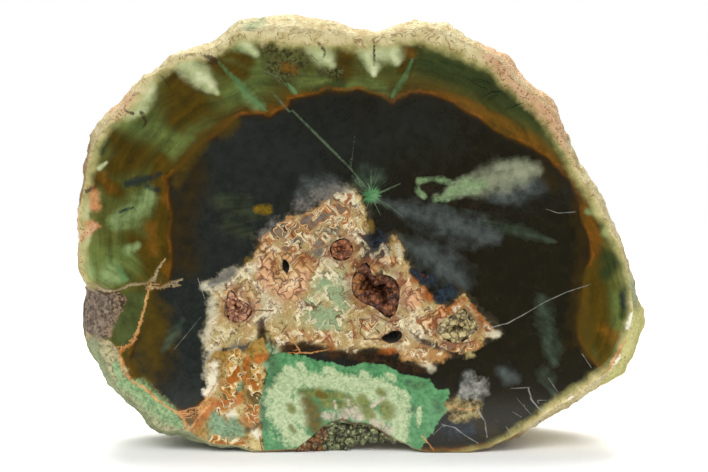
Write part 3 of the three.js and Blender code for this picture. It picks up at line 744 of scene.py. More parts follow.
# Thin lines of the face.
LINES: dict[str, tuple[Stroke, ...]] = {
    "fleck": (
        ((472, 83, 0.6), (478, 86, 1.2), (486, 89, 0.8)), ((484, 96, 0.8), (492, 92, 1.4), (500, 92, 0.8)),
        ((488, 100, 0.6), (496, 96, 1)), ((506, 109, 0.8), (514, 106, 1.2), (522, 103, 0.7)),
        ((478, 79, 0.6), (488, 83, 0.9)), ((500, 88, 0.5), (506, 86, 0.9)),
        ((518, 96, 0.5), (524, 98, 0.8)), ((162, 76, 0.9), (168, 82, 0.9), (172, 90, 0.5)),
        ((120, 218, 0.4), (134, 206, 0.5), (136, 210, 0.5)), ((312, 56, 0.5), (318, 62, 0.5)),
        ((336, 72, 1.2), (337, 80, 0.8)), ((332, 70, 0.8), (330, 76, 1)),
    ),
    "ray": (
        ((370, 191, 0.8), (360, 180, 1), (350, 168, 1.2), (330, 148, 1.5), (306, 124, 1.6),
        (294, 112, 1.2)), ((288, 110, 1.2), (280, 101, 2), (274, 94, 1)),
        ((371, 190, 1), (371, 180, 0.8), (371, 170, 0.4)),
        ((376, 194, 1), (388, 189, 1.2), (399, 184, 0.6)), ((376, 199, 1), (388, 205, 1), (402, 216, 0.5)),
        ((366, 192, 0.9), (358, 184, 0.7), (352, 176, 0.4)),
        ((369, 202, 0.9), (366, 210, 0.6), (364, 217, 0.3)),
        ((374, 202, 0.9), (378, 210, 0.6), (381, 216, 0.3)),
        ((351, 168, 0.4), (353, 150, 0.3), (355, 134, 0.2)),
        ((266, 72, 0.6), (280, 78, 0.5), (292, 92, 0.5)),
    ),
    "vein": (
        ((492, 328, 1), (508, 324, 0.9), (528, 313, 0.7), (546, 302, 0.6), (568, 292, 0.7),
        (590, 285, 0.5)), ((444, 427, 0.8), (456, 430, 1), (466, 438, 0.9), (478, 445, 0.7)),
        ((444, 427, 0.5), (434, 437, 0.4)),
        ((530, 392, 1), (533, 402, 1.2), (540, 410, 1), (546, 414, 0.7)),
        ((512, 390, 0.4), (529, 389, 0.7)), ((480, 414, 1.2), (486, 424, 1.2), (488, 438, 0.8)),
        ((534, 402, 0.5), (548, 402, 0.4)), ((514, 414, 0.4), (524, 420, 0.3)),
        ((518, 400, 0.3), (532, 416, 0.4)), ((508, 430, 0.6), (512, 436, 0.4)),
        ((520, 428, 0.5), (524, 436, 0.5)), ((546, 209, 0.4), (558, 213, 0.7), (574, 212, 0.6)),
        ((584, 356, 0.6), (592, 368, 0.5)), ((550, 380, 0.5), (558, 392, 0.5)),
        ((204, 298, 0.6), (198, 280, 0.6)), ((206, 288, 1.4), (214, 284, 1.6), (222, 286, 1)),
        ((200, 318, 0.3), (182, 340, 0.4), (172, 352, 0.3)),
    ),
    "old_crack": (
        ((84, 283, 1.2), (96, 286, 2), (104, 291, 1.8), (116, 291, 1.6), (130, 285, 1.8), (148, 284, 1.8)),
        ((148, 284, 2.2), (154, 278, 2.2), (158, 268, 1.8), (164, 260, 0.8)),
        ((164, 286, 1.4), (172, 283, 2.4), (180, 280, 1)),
        ((148, 288, 1.6), (160, 288, 1.4), (178, 286, 1)), ((100, 340, 1), (110, 345, 2), (116, 352, 1.6)),
    ),
    "ochre": (
        ((149, 288, 1.8), (146, 300, 1.8), (142, 315, 2), (138, 330, 2.2), (133, 342, 3), (122, 350, 3.4)),
        ((118, 350, 1.6), (120, 362, 2.2), (124, 374, 2.4), (130, 382, 2.2), (142, 388, 1.8),
        (150, 396, 2.2)), ((150, 396, 2.2), (162, 406, 1.8), (172, 412, 1.8), (180, 418, 2.6),
        (186, 430, 2.4), (192, 434, 1.6)),
        ((176, 414, 1.2), (186, 412, 1.3), (198, 409, 1.6), (204, 402, 2), (212, 390, 1.6)),
        ((184, 418, 1), (192, 415, 1), (200, 412, 1.4)),
        ((190, 430, 2.2), (197, 420, 2.2), (206, 408, 2.6)),
        ((632, 334, 1), (625, 344, 1.8), (618, 356, 2.6), (611, 370, 2.4), (606, 380, 2)),
        ((606, 380, 2.6), (598, 385, 3.6), (590, 391, 3.6)), ((425, 441, 1.2), (432, 450, 1.4)),
        ((452, 408, 0.8), (466, 412, 1), (478, 410, 0.7)), ((276, 262, 0.5), (283, 250, 0.5)),
        ((284, 340, 0.8), (292, 342, 1.2), (299, 350, 1), (300, 354, 0.8)),
        ((290, 354, 1), (310, 354, 1), (326, 351, 1)),
    ),
    "seams_and_shadow": (
        ((270, 340, 0.5), (272, 352, 0.6), (268, 360, 0.5)), ((259, 440, 0.6), (262, 456, 0.9)),
        ((76, 290, 0.8), (78, 300, 0.6)),
        ((362, 322, 0.6), (360, 334, 0.7), (366, 340, 0.8), (380, 340, 1), (390, 344, 1), (400, 342, 1)),
        ((376, 316, 0.6), (388, 322, 0.7), (398, 321, 0.6), (406, 318, 0.5)),
        ((438, 330, 0.8), (444, 340, 0.9)), ((446, 341, 0.9), (460, 345, 0.9), (474, 342, 0.6)),
        ((225, 305, 0.9), (224, 316, 1), (234, 323, 1)),
        ((234, 323, 1), (246, 320, 0.9), (252, 310, 1), (248, 300, 0.8)), ((256, 311, 1), (270, 311, 0.9)),
        ((283, 331, 0.9), (286, 327, 0.8)), ((283, 331, 0.9), (287, 335, 0.8)),
        # Painted shadow: the next two lines darken the face's edge along the foot hollow's mouth, under its
        # overhang.
        ((326, 428, 1.6), (342, 421, 1.6)), ((342, 421, 1.4), (352, 426, 1.6), (364, 426, 1.4),
        (376, 430, 1.6), (388, 438, 1.6), (400, 447, 1.2)),
    ),
}


@dataclass
class Drawing:
    """The shapes of the polished face as numbers that grow towards the inside of each shape.

    Attributes:
        columns: The picture's column of each place.
        rows: The picture's row of each place.
        outside: The least number that a stroke's surroundings get.
        far: The number of half widths past which a line no longer counts.
        shortest: The least length of a segment.
        fields: The finished numbers by name.
    """

    columns: np.ndarray
    rows: np.ndarray
    outside: float = -3.0
    far: float = 50.0
    shortest: float = 1e-6
    fields: dict[str, np.ndarray] = field(default_factory=dict)

    def area(self, name: str, outline: Points) -> None:
        """Keeps how many points of the picture a place lies inside an outline.

        Args:
            name: The shape's name.
            outline: Its corners, in order.
        """
        corners = np.array(outline, float)
        nearest = np.full(len(self.columns), np.inf)
        inside = np.zeros(len(self.columns), bool)
        for (ax, ay), (bx, by) in zip(corners, np.roll(corners, -1, axis=0)):
            nearest = np.minimum(nearest, self._to_segment(ax, ay, bx, by)[0])
            crosses = (ay > self.rows) != (by > self.rows)
            at = ax + (self.rows - ay) * (bx - ax) / np.where(by == ay, 1.0, by - ay)
            inside ^= crosses & (self.columns < at)
        self.fields[name] = np.where(inside, nearest, -nearest)

    def strokes(self, name: str, strokes: tuple[Stroke, ...]) -> None:
        """Keeps 1 in the middle of the strokes, 0 at their edge and less outside.

        Args:
            name: The shape's name.
            strokes: Brush strokes of changing width.
        """
        best = np.full(len(self.columns), self.outside)
        for stroke in strokes:
            for (ax, ay, aw), (bx, by, bw) in zip(stroke, stroke[1:]):
                away, share, _ = self._to_segment(ax, ay, bx, by)
                best = np.maximum(best, 1.0 - away / (aw + (bw - aw) * share))
        self.fields[name] = best

    def lines(self, name: str, lines: tuple[Stroke, ...]) -> None:
        """Keeps how far a place lies to the side of the nearest thin line and how far away, in half widths.

        Args:
            name: The lines' name.
            lines: Thin lines of changing width.
        """
        away = np.full(len(self.columns), self.far)
        side = np.full(len(self.columns), self.far)
        for line in lines:
            for (ax, ay, aw), (bx, by, bw) in zip(line, line[1:]):
                distance, share, across = self._to_segment(ax, ay, bx, by)
                width = aw + (bw - aw) * share
                nearer = distance / width < away
                away = np.where(nearer, distance / width, away)
                side = np.where(nearer, across / width, side)
        self.fields[name + "_away"] = away
        self.fields[name + "_side"] = np.clip(side, -self.far, self.far)

    def _to_segment(self, ax: float, ay: float, bx: float, by: float) -> tuple[np.ndarray, ...]:
        """Distance to a segment, share along it, and signed distance to its line."""
        dx, dy = bx - ax, by - ay
        length = max(math.hypot(dx, dy), self.shortest)
        px, py = self.columns - ax, self.rows - ay
        share = np.clip((px * dx + py * dy) / length**2, 0.0, 1.0)
        away = np.hypot(px - share * dx, py - share * dy)
        return away, share, (px * dy - py * dx) / length


class Paint:
    """A colour that gets one layer after another."""

    def __init__(self, wiring: Wiring, tones: dict[Grain, Value], colour: Value | Colour) -> None:
        """Starts from a first colour.

        Args:
            wiring: The material's wiring.
            tones: For each grain, how much of a layer's lighter colour shows, from 0 to 1.
            colour: The first colour.
        """
        self.wiring = wiring
        self.tones = tones
        self.colour = colour

    def lay(self, mask: Value | float, colour: Value | Colour) -> None:
        """Covers the colour where the mask is 1."""
        self.colour = self.wiring.mix(mask, self.colour, colour)

    def cover(self, mask: Value | float, low: str, high: str, grain: Grain = Grain.MOTTLED) -> None:
        """Covers the colour with a mix of two colours.

        Args:
            mask: Where to cover it.
            low: The darker colour.
            high: The lighter colour.
            grain: How the two colours mix.
        """
        self.lay(mask, self.wiring.mix(self.tones[grain], srgb(low), srgb(high)))

    def spread(self, value: Value, coat: Coat, where: Value | None = None) -> None:
        """Lays a coat where a value has reached it.

        Args:
            value: The value that the coat goes by.
            coat: The coat.
            where: Where it may lie, or None for everywhere.
        """
        mask = self.wiring.smooth(value, coat.start, coat.full)
        if where is not None:
            mask = mask * where
        if coat.strength < 1.0:
            mask = mask * coat.strength
        self.cover(mask, coat.low, coat.high, coat.grain)


class FacePainter(Paint):
    """Paints the polished face.

    Attributes:
        places: The place on the stone, in millimetres.
        across: How far to the right it lies, in millimetres.
        bent: The place with a slow swing, so that noises read there don't run straight.
        radius: How far from the pith it lies, in millimetres.
        turn_x: How much the way to it from the pith points right.
        turn_z: How much that way points up.
        fine: Noise as small as grains.
        middle: Noise as small as spots.
        broad: Noise as large as whole parts of the face.
        spokes: Noise that runs out from the pith.
        edge: How far inside the face's outer edge it lies, in points of the picture.
    """

    def __init__(self, wiring: Wiring) -> None:
        """Prepares the noises that the layers share."""
        places = wiring.places()
        across, _, up = wiring.separate(places)
        right = across - (PITH[0] - ORIGIN_COLUMN) * PICTURE_STEP / MM
        above = up - (GROUND_ROW - PITH[1]) * PICTURE_STEP / MM
        swing_x = wiring.math("SINE", up * 0.8 + 0.5) + wiring.math("SINE", up * 2.1 + across * 1.3) * 0.5
        swing_z = wiring.math("SINE", across * 0.9) + wiring.math("SINE", across * 2.3 - up * 1.1) * 0.5
        self.places = places
        self.across = across
        self.bent = wiring.combine(across + swing_x, 0.0, up + swing_z)
        self.radius = wiring.math("SQRT", right * right + above * above + 0.01)
        self.turn_x, self.turn_z = right / self.radius, above / self.radius
        self.fine = wiring.clouds(places, size=0.8, detail=4.0, rough=0.62)
        self.middle = wiring.clouds(places, size=2.8, detail=4.0, rough=0.6)
        self.broad = wiring.clouds(places, size=12.0)
        rays = wiring.combine(self.turn_x * 24.0, self.turn_z * 24.0, self.radius * 0.03)
        self.spokes = wiring.clouds(rays, detail=4.0, rough=0.62)
        self.edge = wiring.field("edge")
        along = wiring.combine(self.turn_x * 2.2, self.turn_z * 2.2, self.edge * 0.14)
        rings = wiring.clouds(along, detail=4.0, rough=0.65)
        speck = wiring.specks(places, size=0.55)
        tones = {
            Grain.MOTTLED: wiring.smooth(self.middle * 0.6 + self.fine * 0.8, -0.9, 0.9),
            Grain.STREAKED: wiring.smooth(rings * 0.7 + self.fine * 0.25 + self.middle * 0.3, -0.8, 0.8),
            Grain.RADIAL: wiring.smooth(self.spokes * 0.7 + self.middle * 0.5, -0.9, 0.9),
            Grain.SPECKLED: wiring.smooth(speck * 1.2 + self.fine * 0.5 - 0.6, -0.7, 0.7),
            Grain.SOFT: wiring.smooth(self.middle, -1.2, 1.2),
        }
        super().__init__(wiring, tones, srgb("808080"))

    def cover(self, mask: Value | float, low: str, high: str, grain: Grain = Grain.MOTTLED) -> None:
        """Covers the face with a darker colour and then, by the grain, with a lighter one."""
        self.lay(mask, srgb(low))
        self.lay(self.tones[grain] * mask, srgb(high))

    def inside(self, name: str, wander: float = 0.0, ragged: float = 0.0, spread: float = 0.0) -> Value:
        """How far inside a shape a place lies, with noise that makes the shape's edge uneven.

        Args:
            name: The shape's field on the mesh.
            wander: How much its edge wanders.
            ragged: How ragged its edge is.
            spread: How much its edge follows the rays of the wood.

        Returns:
            The uneven number.
        """
        inside = self.wiring.field(name) + self.middle * wander
        if ragged:
            inside = inside + self.fine * ragged
        if spread:
            inside = inside + self.spokes * spread
        return inside

    def layers(self, layers: tuple[Layer, ...]) -> None:
        """Lays a group of layers in their order."""
        for layer in layers:
            coat = Coat(layer.low, layer.high, -layer.soft, layer.soft, layer.strength, layer.grain)
            self.spread(self.inside(layer.name, layer.wander, layer.ragged, layer.spread), coat)

    def line(self, name: str, low: str, high: str, strength: float, waver: float, width: float = 1.0) -> None:
        """Lays two colours along thin lines.

        Args:
            name: The lines' name.
            low: The darker colour.
            high: The lighter colour.
            strength: How much it covers.
            waver: How far the lines waver, in half widths.
            width: Their width, compared with the drawn one.
        """
        wiring = self.wiring
        side = wiring.field(name + "_side") + self.fine * waver
        across = wiring.smooth(abs(side), 1.2 * width, 0.3 * width)
        along = wiring.smooth(wiring.field(name + "_away"), 4.0, 2.0)
        self.cover(across * along * strength, low, high)


@dataclass(frozen=True)
class AgateCells:
    """Agate cells: a dark line, a cream band inside it, then the fill and a heart of another colour.

    Attributes:
        fill: Colour of a cell.
        heart: Colour of its middle.
        outline: Its dark outline.
        cream: The band inside the outline.
        ring: The thin ring around the heart.
        ring_level: The level at which the ring lies.
        size: Size of a cell, in millimetres.
    """

    fill: Coat
    heart: Coat
    outline: Coat = Coat("22140a", "4a2a14", -0.3, -0.22, 0.9)
    cream: Coat = Coat("c9ae78", "ecdcb6", -0.2, -0.12, 0.9)
    ring: Coat = Coat("2c180c", "5c3418", 0.07, 0.02, 0.75)
    ring_level: float = 0.26
    size: float = 3.4

    def lay(self, painter: FacePainter, where: Value) -> None:
        """Lays the cells where the mask is 1."""
        level = painter.wiring.clouds(painter.bent, size=self.size, detail=2.0, rough=0.5, warp=0.4)
        painter.spread(level, self.outline, where)
        painter.spread(level, self.cream, where)
        painter.spread(level, self.fill, where)
        painter.spread(abs(level - self.ring_level), self.ring, where)
        painter.spread(level, self.heart, where)


@dataclass(frozen=True)
class PolishedWood:
    """The finish of the polished face, which is glossy on the wood and chalky on the rind and the core.

    The coats of the sapwood lie along the distance to the rind or to the heartwood, those of the heartwood
    and the core along the distance inside them, in points of the picture, and the rest along noises.
    """

    name: str = "polished_petrified_wood"
    gloss: float = 0.18
    chalk: float = 0.5
    green_sapwood: Coat = Coat("55562a", "7c7c40", -22.0, -4.0, 0.8, Grain.STREAKED)
    pale_sapwood: Coat = Coat("8f8a50", "b9b27c", -9.0, 1.0, 0.85)
    inner_sapwood: Coat = Coat("3c2b0a", "5e430f", -26.0, -3.0, 0.6, Grain.STREAKED)
    heart_border: Coat = Coat("56330a", "8c581c", -4.5, -1.0)
    heart_edge: Coat = Coat("241a09", "38270c", -1.0, 3.0)
    heartwood: Coat = Coat("1a1e1b", "272b27", 1.5, 8.0)
    warm_heartwood: Coat = Coat("17150c", "221e11", 1.5, 8.0)
    core_halo: Coat = Coat("463e2c", "6b6048", -9.0, 1.0, 0.45)
    core: Coat = Coat("84602c", "cfb67c", -2.2, 2.2)
    cream_threads: Coat = Coat("dac894", "f8efd2", 0.26, 0.1, 0.8)
    cream_level: float = -0.14
    brown_threads: Coat = Coat("3a2110", "6d4626", 0.06, 0.02, 0.8)
    brown_level: float = 0.12
    dark_blotches: Coat = Coat("36200f", "6d4422", 0.15, 1.1, 0.7)
    pale_blotches: Coat = Coat("dccb98", "f3e8c4", -0.3, -1.2, 0.7)
    ridges: Coat = Coat("3c2110", "70441f", 0.11, 0.03, 0.5)
    # Painted highlight: the lumps' centres turn lighter.
    lumps: Coat = Coat("d39a68", "ecce9c", 0.05, 0.3, 0.5)
    lump_outlines: Coat = Coat("4a2410", "8a4e28", 0.1, 0.02, 0.85)
    core_pits: Coat = Coat("24150a", "533419", 0.65, 1.0, 0.8)
    core_agate: AgateCells = AgateCells(
        Coat("8a4f22", "c08448", -0.04, 0.06, 0.9), Coat("45403a", "857a6a", 0.28, 0.4, 0.85)
    )
    corner_agate: AgateCells = AgateCells(
        Coat("94661f", "c89a48", -0.04, 0.06, 0.9), Coat("8a4410", "b5662a", 0.28, 0.4, 0.85)
    )
    ochre_corner: Coat = Coat("6e5220", "b08c48", -1.5, 1.5)
    foot_block: Coat = Coat("3e7048", "659c68", -1.0, 1.0)
    block_specks: Coat = Coat("27402c", "4c6a44", 0.75, 1.15, 0.55)
    mottled_band: Coat = Coat("6f6a4c", "b0a880", -1.5, 1.5, grain=Grain.SPECKLED)
    green_wedge: Coat = Coat("333b1c", "50592e", -4.0, 4.0, grain=Grain.SOFT)
    granular_patch: Coat = Coat("382a20", "8a745c", -1.5, 1.5, grain=Grain.SPECKLED)
    flake: Coat = Coat("c2b583", "ded6ae", -1.5, 1.5)
    inner_rind: Coat = Coat("8e8a4c", "b4ac6c", -8.0, 2.0, 0.6, Grain.SOFT)
    rind: Coat = Coat("b8a468", "ddd2a4", -3.0, 8.0, 0.85, Grain.SOFT)
    rind_cracks: Coat = Coat("5f431c", "9c763c", 0.08, 0.02, 0.65)
    rind_clouds: Coat = Coat("a8904c", "cdbb78", 0.5, 1.0, 0.5)
    rind_pits: str = "7a4326"
    pith_hairs: Coat = Coat("476f48", "78a076", 0.35, 0.8, 0.6)
    pith: Coat = Coat("3c6c42", "679b69", 2.4, 1.0)

    def material(self) -> bpy.types.Material:
        """Paints the face from the sapwood up to the thin veins.

        Returns:
            The finished material.
        """
        material, wiring = new_material(self.name)
        painter = FacePainter(wiring)
        self._sapwood(painter)
        self._heartwood(painter)
        self._core(painter)
        self._lower_parts(painter)
        self._rim(painter)
        self._lines(painter)

        chalky = wiring.smooth(painter.inside("core", wander=3.0), -2.0, 6.0) * 0.6
        rind = wiring.smooth(painter.edge, 12.0, 4.0)
        matt = wiring.math("MAXIMUM", chalky, rind)
        inputs = {
            "Base Color": painter.colour,
            "Roughness": matt * (self.chalk - self.gloss) + self.gloss,
            "Normal": wiring.bumps(painter.fine * matt, strength=0.1, depth=0.1 * MM),
            "Specular IOR Level": 0.4,
        }
        wiring.finish("ShaderNodeOutputMaterial", wiring.node("ShaderNodeBsdfPrincipled", {}, inputs))
        return material

    def _sapwood(self, painter: FacePainter) -> None:
        """Lays the green and brown sapwood, pale near the rind and amber near the heartwood."""
        rim = painter.inside("rind", wander=2.5, spread=2.5)
        painter.cover(1.0, "3c4019", "5a5c28", Grain.STREAKED)
        painter.spread(rim, self.green_sapwood)
        painter.spread(rim, self.pale_sapwood)
        painter.spread(painter.inside("heart", wander=3.0), self.inner_sapwood)
        painter.layers(SAPWOOD)

    def _heartwood(self, painter: FacePainter) -> None:
        """Lays the dark heartwood with its orange edge, its pale clouds and its hazes."""
        wiring = painter.wiring
        inside = painter.inside("heart", wander=1.8, ragged=0.6)
        painter.spread(inside, self.heart_border, painter.tones[Grain.STREAKED])
        painter.spread(inside, self.heart_edge)
        painter.spread(inside, self.heartwood)
        side = wiring.smooth(painter.across + painter.broad * 12.0, -30.0, 25.0)
        painter.spread(inside, self.warm_heartwood, side)
        painter.layers(HEARTWOOD_HAZES)

    def _core(self, painter: FacePainter) -> None:
        """Lays the pale core with its threads, its agate cells, and its lumps with dark outlines and a
        painted highlight on each lump's centre.
        """
        wiring = painter.wiring
        core = painter.inside("core", wander=4.0, ragged=0.9)
        painter.spread(core, self.core_halo)
        painter.spread(core, self.core)
        painter.layers(CORE_LAYERS)
        within = wiring.smooth(core, 1.0, 6.0)
        folds = wiring.clouds(painter.bent, size=5.5, rough=0.5, warp=0.4)
        threads = within * wiring.smooth(painter.middle, -0.5, 0.5)
        painter.spread(abs(folds - self.cream_level), self.cream_threads, threads)
        painter.spread(abs(folds - self.brown_level), self.brown_threads, threads)
        blotches = painter.middle * 0.7 + painter.fine
        painter.spread(blotches, self.dark_blotches, within)
        painter.spread(blotches, self.pale_blotches, within)
        ridges = abs(wiring.clouds(painter.bent, size=2.4, detail=4.0, rough=0.6, warp=0.3))
        painter.spread(ridges, self.ridges, threads)
        agate = wiring.smooth(painter.inside("agate", wander=0.3), -0.3, 0.3)
        self.core_agate.lay(painter, agate)
        lumps = wiring.cells(painter.bent, 2.4, "DISTANCE_TO_EDGE") + painter.fine * 0.04
        lumpy = wiring.smooth(painter.inside("lumpy", wander=0.4), -0.3, 0.3)
        # Painted highlight: lighter colour towards the middle of each lump.
        painter.spread(lumps, self.lumps, lumpy)
        outlined = lumpy * wiring.smooth(painter.middle, 0.9, -0.3)
        painter.spread(lumps, self.lump_outlines, outlined)
        painter.spread(painter.fine - painter.middle * 0.4, self.core_pits, within)
        painter.layers(STAINS)

    def _lower_parts(self, painter: FacePainter) -> None:
        """Lays the ochre corner and the mint block above the foot hollow."""
        wiring = painter.wiring
        painter.spread(painter.inside("ochre_corner", wander=3.0, ragged=1.5), self.ochre_corner)
        painter.layers(CORNER)
        banded = wiring.smooth(painter.inside("corner_bands", wander=0.4), -0.3, 0.4)
        self.corner_agate.lay(painter, banded)
        painter.spread(painter.inside("foot_block", wander=1.0, ragged=1.2), self.foot_block)
        painter.layers(BLOCK)
        block = wiring.smooth(wiring.field("foot_block"), 0.0, 4.0)
        painter.spread(painter.fine + painter.middle * 0.3, self.block_specks, block)

    def _rim(self, painter: FacePainter) -> None:
        """Lays the chalky rind, the granular patch and the mottled band."""
        wiring = painter.wiring
        painter.spread(painter.inside("mottled_band", wander=2.0, ragged=1.0), self.mottled_band)
        painter.spread(painter.inside("green_wedge", wander=2.0, ragged=0.2), self.green_wedge)
        painter.spread(painter.inside("granular_patch", wander=3.0, ragged=1.0), self.granular_patch)
        painter.spread(painter.inside("flake", wander=1.0, ragged=0.5), self.flake)
        rind = painter.inside("rind", wander=2.5, spread=1.0)
        painter.spread(rind, self.inner_rind)
        painter.spread(rind, self.rind)
        painter.layers(RIM)
        chalky = wiring.smooth(rind, -4.0, 4.0)
        cracks = wiring.clouds(painter.bent, size=4.5, warp=0.3)
        painter.spread(abs(cracks), self.rind_cracks, chalky)
        painter.spread(cracks, self.rind_clouds, chalky)
        pits = wiring.smooth(wiring.cells(painter.places, 1.0), 0.3, 0.16)
        painter.lay(pits * wiring.smooth(wiring.field("pinkish"), -0.6, 0.0) * 0.8, srgb(self.rind_pits))

    def _lines(self, painter: FacePainter) -> None:
        """Lays the pith, its rays, the cracks and the veins."""
        wiring = painter.wiring
        star = wiring.clouds(wiring.combine(painter.turn_x * 5.0, painter.turn_z * 5.0, 0.5), detail=2.0)
        hairs = wiring.clouds(wiring.combine(painter.turn_x * 11.0, painter.turn_z * 11.0, 4.0), detail=2.0)
        painter.spread(hairs, self.pith_hairs, wiring.smooth(painter.radius, 6.5, 1.5))
        painter.spread(painter.radius + star * 1.2 + painter.fine * 0.3, self.pith)
        painter.line("ray", "4a5c43", "7d8f6f", strength=0.38, waver=0.2)
        painter.line("fleck", "10150d", "1a2214", strength=0.75, waver=1.0, width=0.55)
        painter.line("old_crack", "6f5a3c", "cdbb92", strength=0.6, waver=1.0)
        painter.line("ochre", "9a5a24", "d6ac70", strength=0.85, waver=1.0, width=0.75)
        painter.line("vein", "6f716a", "b5b5aa", strength=0.5, waver=0.4, width=0.75)
        # Thin dark lines around the hollows, and along the foot hollow's mouth a painted shadow under its
        # overhang.
        painter.line("seams_and_shadow", "3a2010", "7a4a24", strength=0.75, waver=0.8)


@dataclass(frozen=True)
class RoughStone:
    """The finish of the rind, the sides and the broken back.

    The coats of the sapwood, the heartwood and the core lie along how deep inside the log a place is, in
    points of the picture.
    """

    name: str = "rough_petrified_wood"
    roughness: float = 0.82
    dark_rind: str = "ab9866"
    pale_rind: str = "dbd1a8"
    tan_furrows: str = "a27a48"
    green_rind: str = "989b6c"
    dark_furrows: str = "6f5a34"
    pits: str = "7a4a2c"
    sapwood: Coat = Coat("3f3c18", "7c8048", 8.0, 18.0, grain=Grain.SOFT)
    heart_border: Coat = Coat("5c380f", "8d6128", 44.0, 54.0)
    heartwood: Coat = Coat("1b1914", "3f3b2f", 52.0, 64.0)
    core: Coat = Coat("4f3a22", "a8936a", -9.0, 12.0, 0.8)
    green_core: Coat = Coat("566c50", "8d9f7a", 0.2, 1.0, 0.8)
    mottled_band: Coat = Coat("636b4a", "a8a882", -7.0, 6.0, grain=Grain.SPECKLED)
    granular_patch: Coat = Coat("4a3c34", "958470", -6.0, 5.0, grain=Grain.SPECKLED)
    flake: Coat = Coat("a29c5a", "d0ca8a", -3.0, 2.0)
    side_edge: float = 0.9  # how far the edge of a side's patch fades, in half widths

    def material(self) -> bpy.types.Material:
        """Paints the rough stone by how deep inside the log a place lies.

        Returns:
            The finished material.
        """
        material, wiring = new_material(self.name)
        places = wiring.places()
        fine = wiring.clouds(places, size=0.8, detail=5.0, rough=0.65)
        middle = wiring.clouds(places, size=4.0, detail=4.0, rough=0.6)
        broad = wiring.clouds(places, size=16.0)
        tones = {
            Grain.MOTTLED: wiring.smooth(fine + middle, -1.2, 1.2),
            Grain.SOFT: wiring.smooth(broad + fine, -0.8, 0.8),
            Grain.SPECKLED: wiring.specks(places, size=0.8),
        }
        across, behind, up = wiring.separate(places)
        stretched = wiring.combine(across * 0.45, behind * 0.12, up * 0.45)
        furrows = wiring.clouds(stretched, detail=4.0, rough=0.6)
        near = wiring.smooth(behind + middle * 6.0, 8.0, -14.0)
        far = wiring.smooth(behind + middle * 4.0, 6.0, 16.0)
        edge = wiring.field("edge")
        deep = edge + middle * 5.0

        rind = wiring.mix(tones[Grain.MOTTLED], srgb(self.dark_rind), srgb(self.pale_rind))
        paint = Paint(wiring, tones, rind)
        paint.lay(wiring.smooth(furrows + fine * 0.4, 0.1, 0.9) * 0.65, srgb(self.tan_furrows))
        paint.lay(wiring.smooth(middle - broad, 0.1, 1.1) * 0.55, srgb(self.green_rind))
        paint.lay(wiring.smooth(middle * 0.5 - furrows, 0.4, 1.0) * 0.6, srgb(self.dark_furrows))
        for coat in (self.sapwood, self.heart_border, self.heartwood):
            paint.spread(deep, coat)
        inside_core = wiring.field("core") + middle * 12.0 + broad * 8.0 + fine * 4.0
        paint.spread(inside_core, self.core, far)
        core = wiring.smooth(inside_core, self.core.start, self.core.full) * far
        paint.spread(middle - broad, self.green_core, core)
        paint.spread(wiring.field("mottled_band") + middle * 9.0 + furrows * 4.0, self.mottled_band, near)
        paint.spread(wiring.field("granular_patch") + middle * 8.0 + furrows * 4.0, self.granular_patch, near)
        paint.spread(wiring.field("flake") + middle * 2.0, self.flake, near)
        outer = wiring.smooth(edge, 40.0, 10.0) * near
        for layer in SIDES:
            inside = wiring.field(layer.name) + (middle + furrows) * layer.wander + fine * layer.ragged
            coat = Coat(layer.low, layer.high, -self.side_edge, self.side_edge, layer.strength)
            paint.spread(inside, coat, outer)
        pits = wiring.smooth(wiring.cells(places, 1.6), 0.22, 0.12)
        paint.lay(pits * wiring.smooth(middle, -0.2, 0.5) * 0.7, srgb(self.pits))
        height = fine * 0.6 + middle * 0.4 + wiring.smooth(wiring.cells(places, 0.7), 0.1, 0.5) * 0.4
        inputs = {
            "Base Color": paint.colour,
            "Roughness": self.roughness,
            "Normal": wiring.bumps(height, strength=0.8, depth=0.4 * MM),
            "Specular IOR Level": 0.3,
        }
        wiring.finish("ShaderNodeOutputMaterial", wiring.node("ShaderNodeBsdfPrincipled", {}, inputs))
        return material


@dataclass(frozen=True)
class CrystalFinish:
    """The finish of one hollow's crystals.

    Attributes:
        name: The material's name.
        low: Colour in the gaps, laid there as painted shade, and the darker side of the main colour.
        middle: Main colour.
        high: Colour of the crests, a painted highlight.
        other: Colour of some larger patches.
        split: Place to the right, in millimetres, left of which the other colour prevails.
        roughness: How matt the crystals are.
    """

    name: str
    low: str
    middle: str
    high: str
    other: str
    split: float | None = None
    roughness: float = 0.6

    def material(self) -> bpy.types.Material:
        """Mixes the colours by fine and coarse noise.

        Returns:
            The finished material.
        """
        material, wiring = new_material(self.name)
        places = wiring.places()
        fine = wiring.clouds(places, size=0.5, detail=4.0, rough=0.6)
        middle = wiring.clouds(places, size=1.8)
        patch = wiring.clouds(places, size=4.5) + middle * 0.5
        if self.split is not None:
            patch = patch + (self.split - wiring.separate(places)[0]) * 0.4
        cracks = wiring.cells(places, 2.4, "DISTANCE_TO_EDGE") + fine * 0.03
        colour = wiring.mix(wiring.smooth(middle + fine * 0.6, -0.8, 0.4), srgb(self.low), srgb(self.middle))
        colour = wiring.mix(wiring.smooth(patch, 0.1, 0.8) * 0.8, colour, srgb(self.other))
        # Painted highlight: the high colour on the crests that the noise picks out.
        colour = wiring.mix(wiring.smooth(fine + middle * 0.6, 0.2, 1.2), colour, srgb(self.high))
        # Dark cracks between the cells, partly painted shade in the gaps between the crystals.
        colour = wiring.mix(wiring.smooth(cracks, 0.12, 0.03) * 0.75, colour, srgb(self.low))
        inputs = {
            "Base Color": colour,
            "Roughness": self.roughness,
            "Normal": wiring.bumps(fine, strength=0.4, depth=0.12 * MM),
        }
        wiring.finish("ShaderNodeOutputMaterial", wiring.node("ShaderNodeBsdfPrincipled", {}, inputs))
        return material


def merged_copy(node: str) -> bmesh.types.BMesh:
    """Copies a CAD node's mesh and merges its loose triangles.

    Args:
        node: The node's name.

    Returns:
        The merged mesh.
    """
    mesh = bmesh.new()
    mesh.from_mesh(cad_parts[node].data)
    bmesh.ops.remove_doubles(mesh, verts=mesh.verts, dist=0.001 * MM)
    return mesh


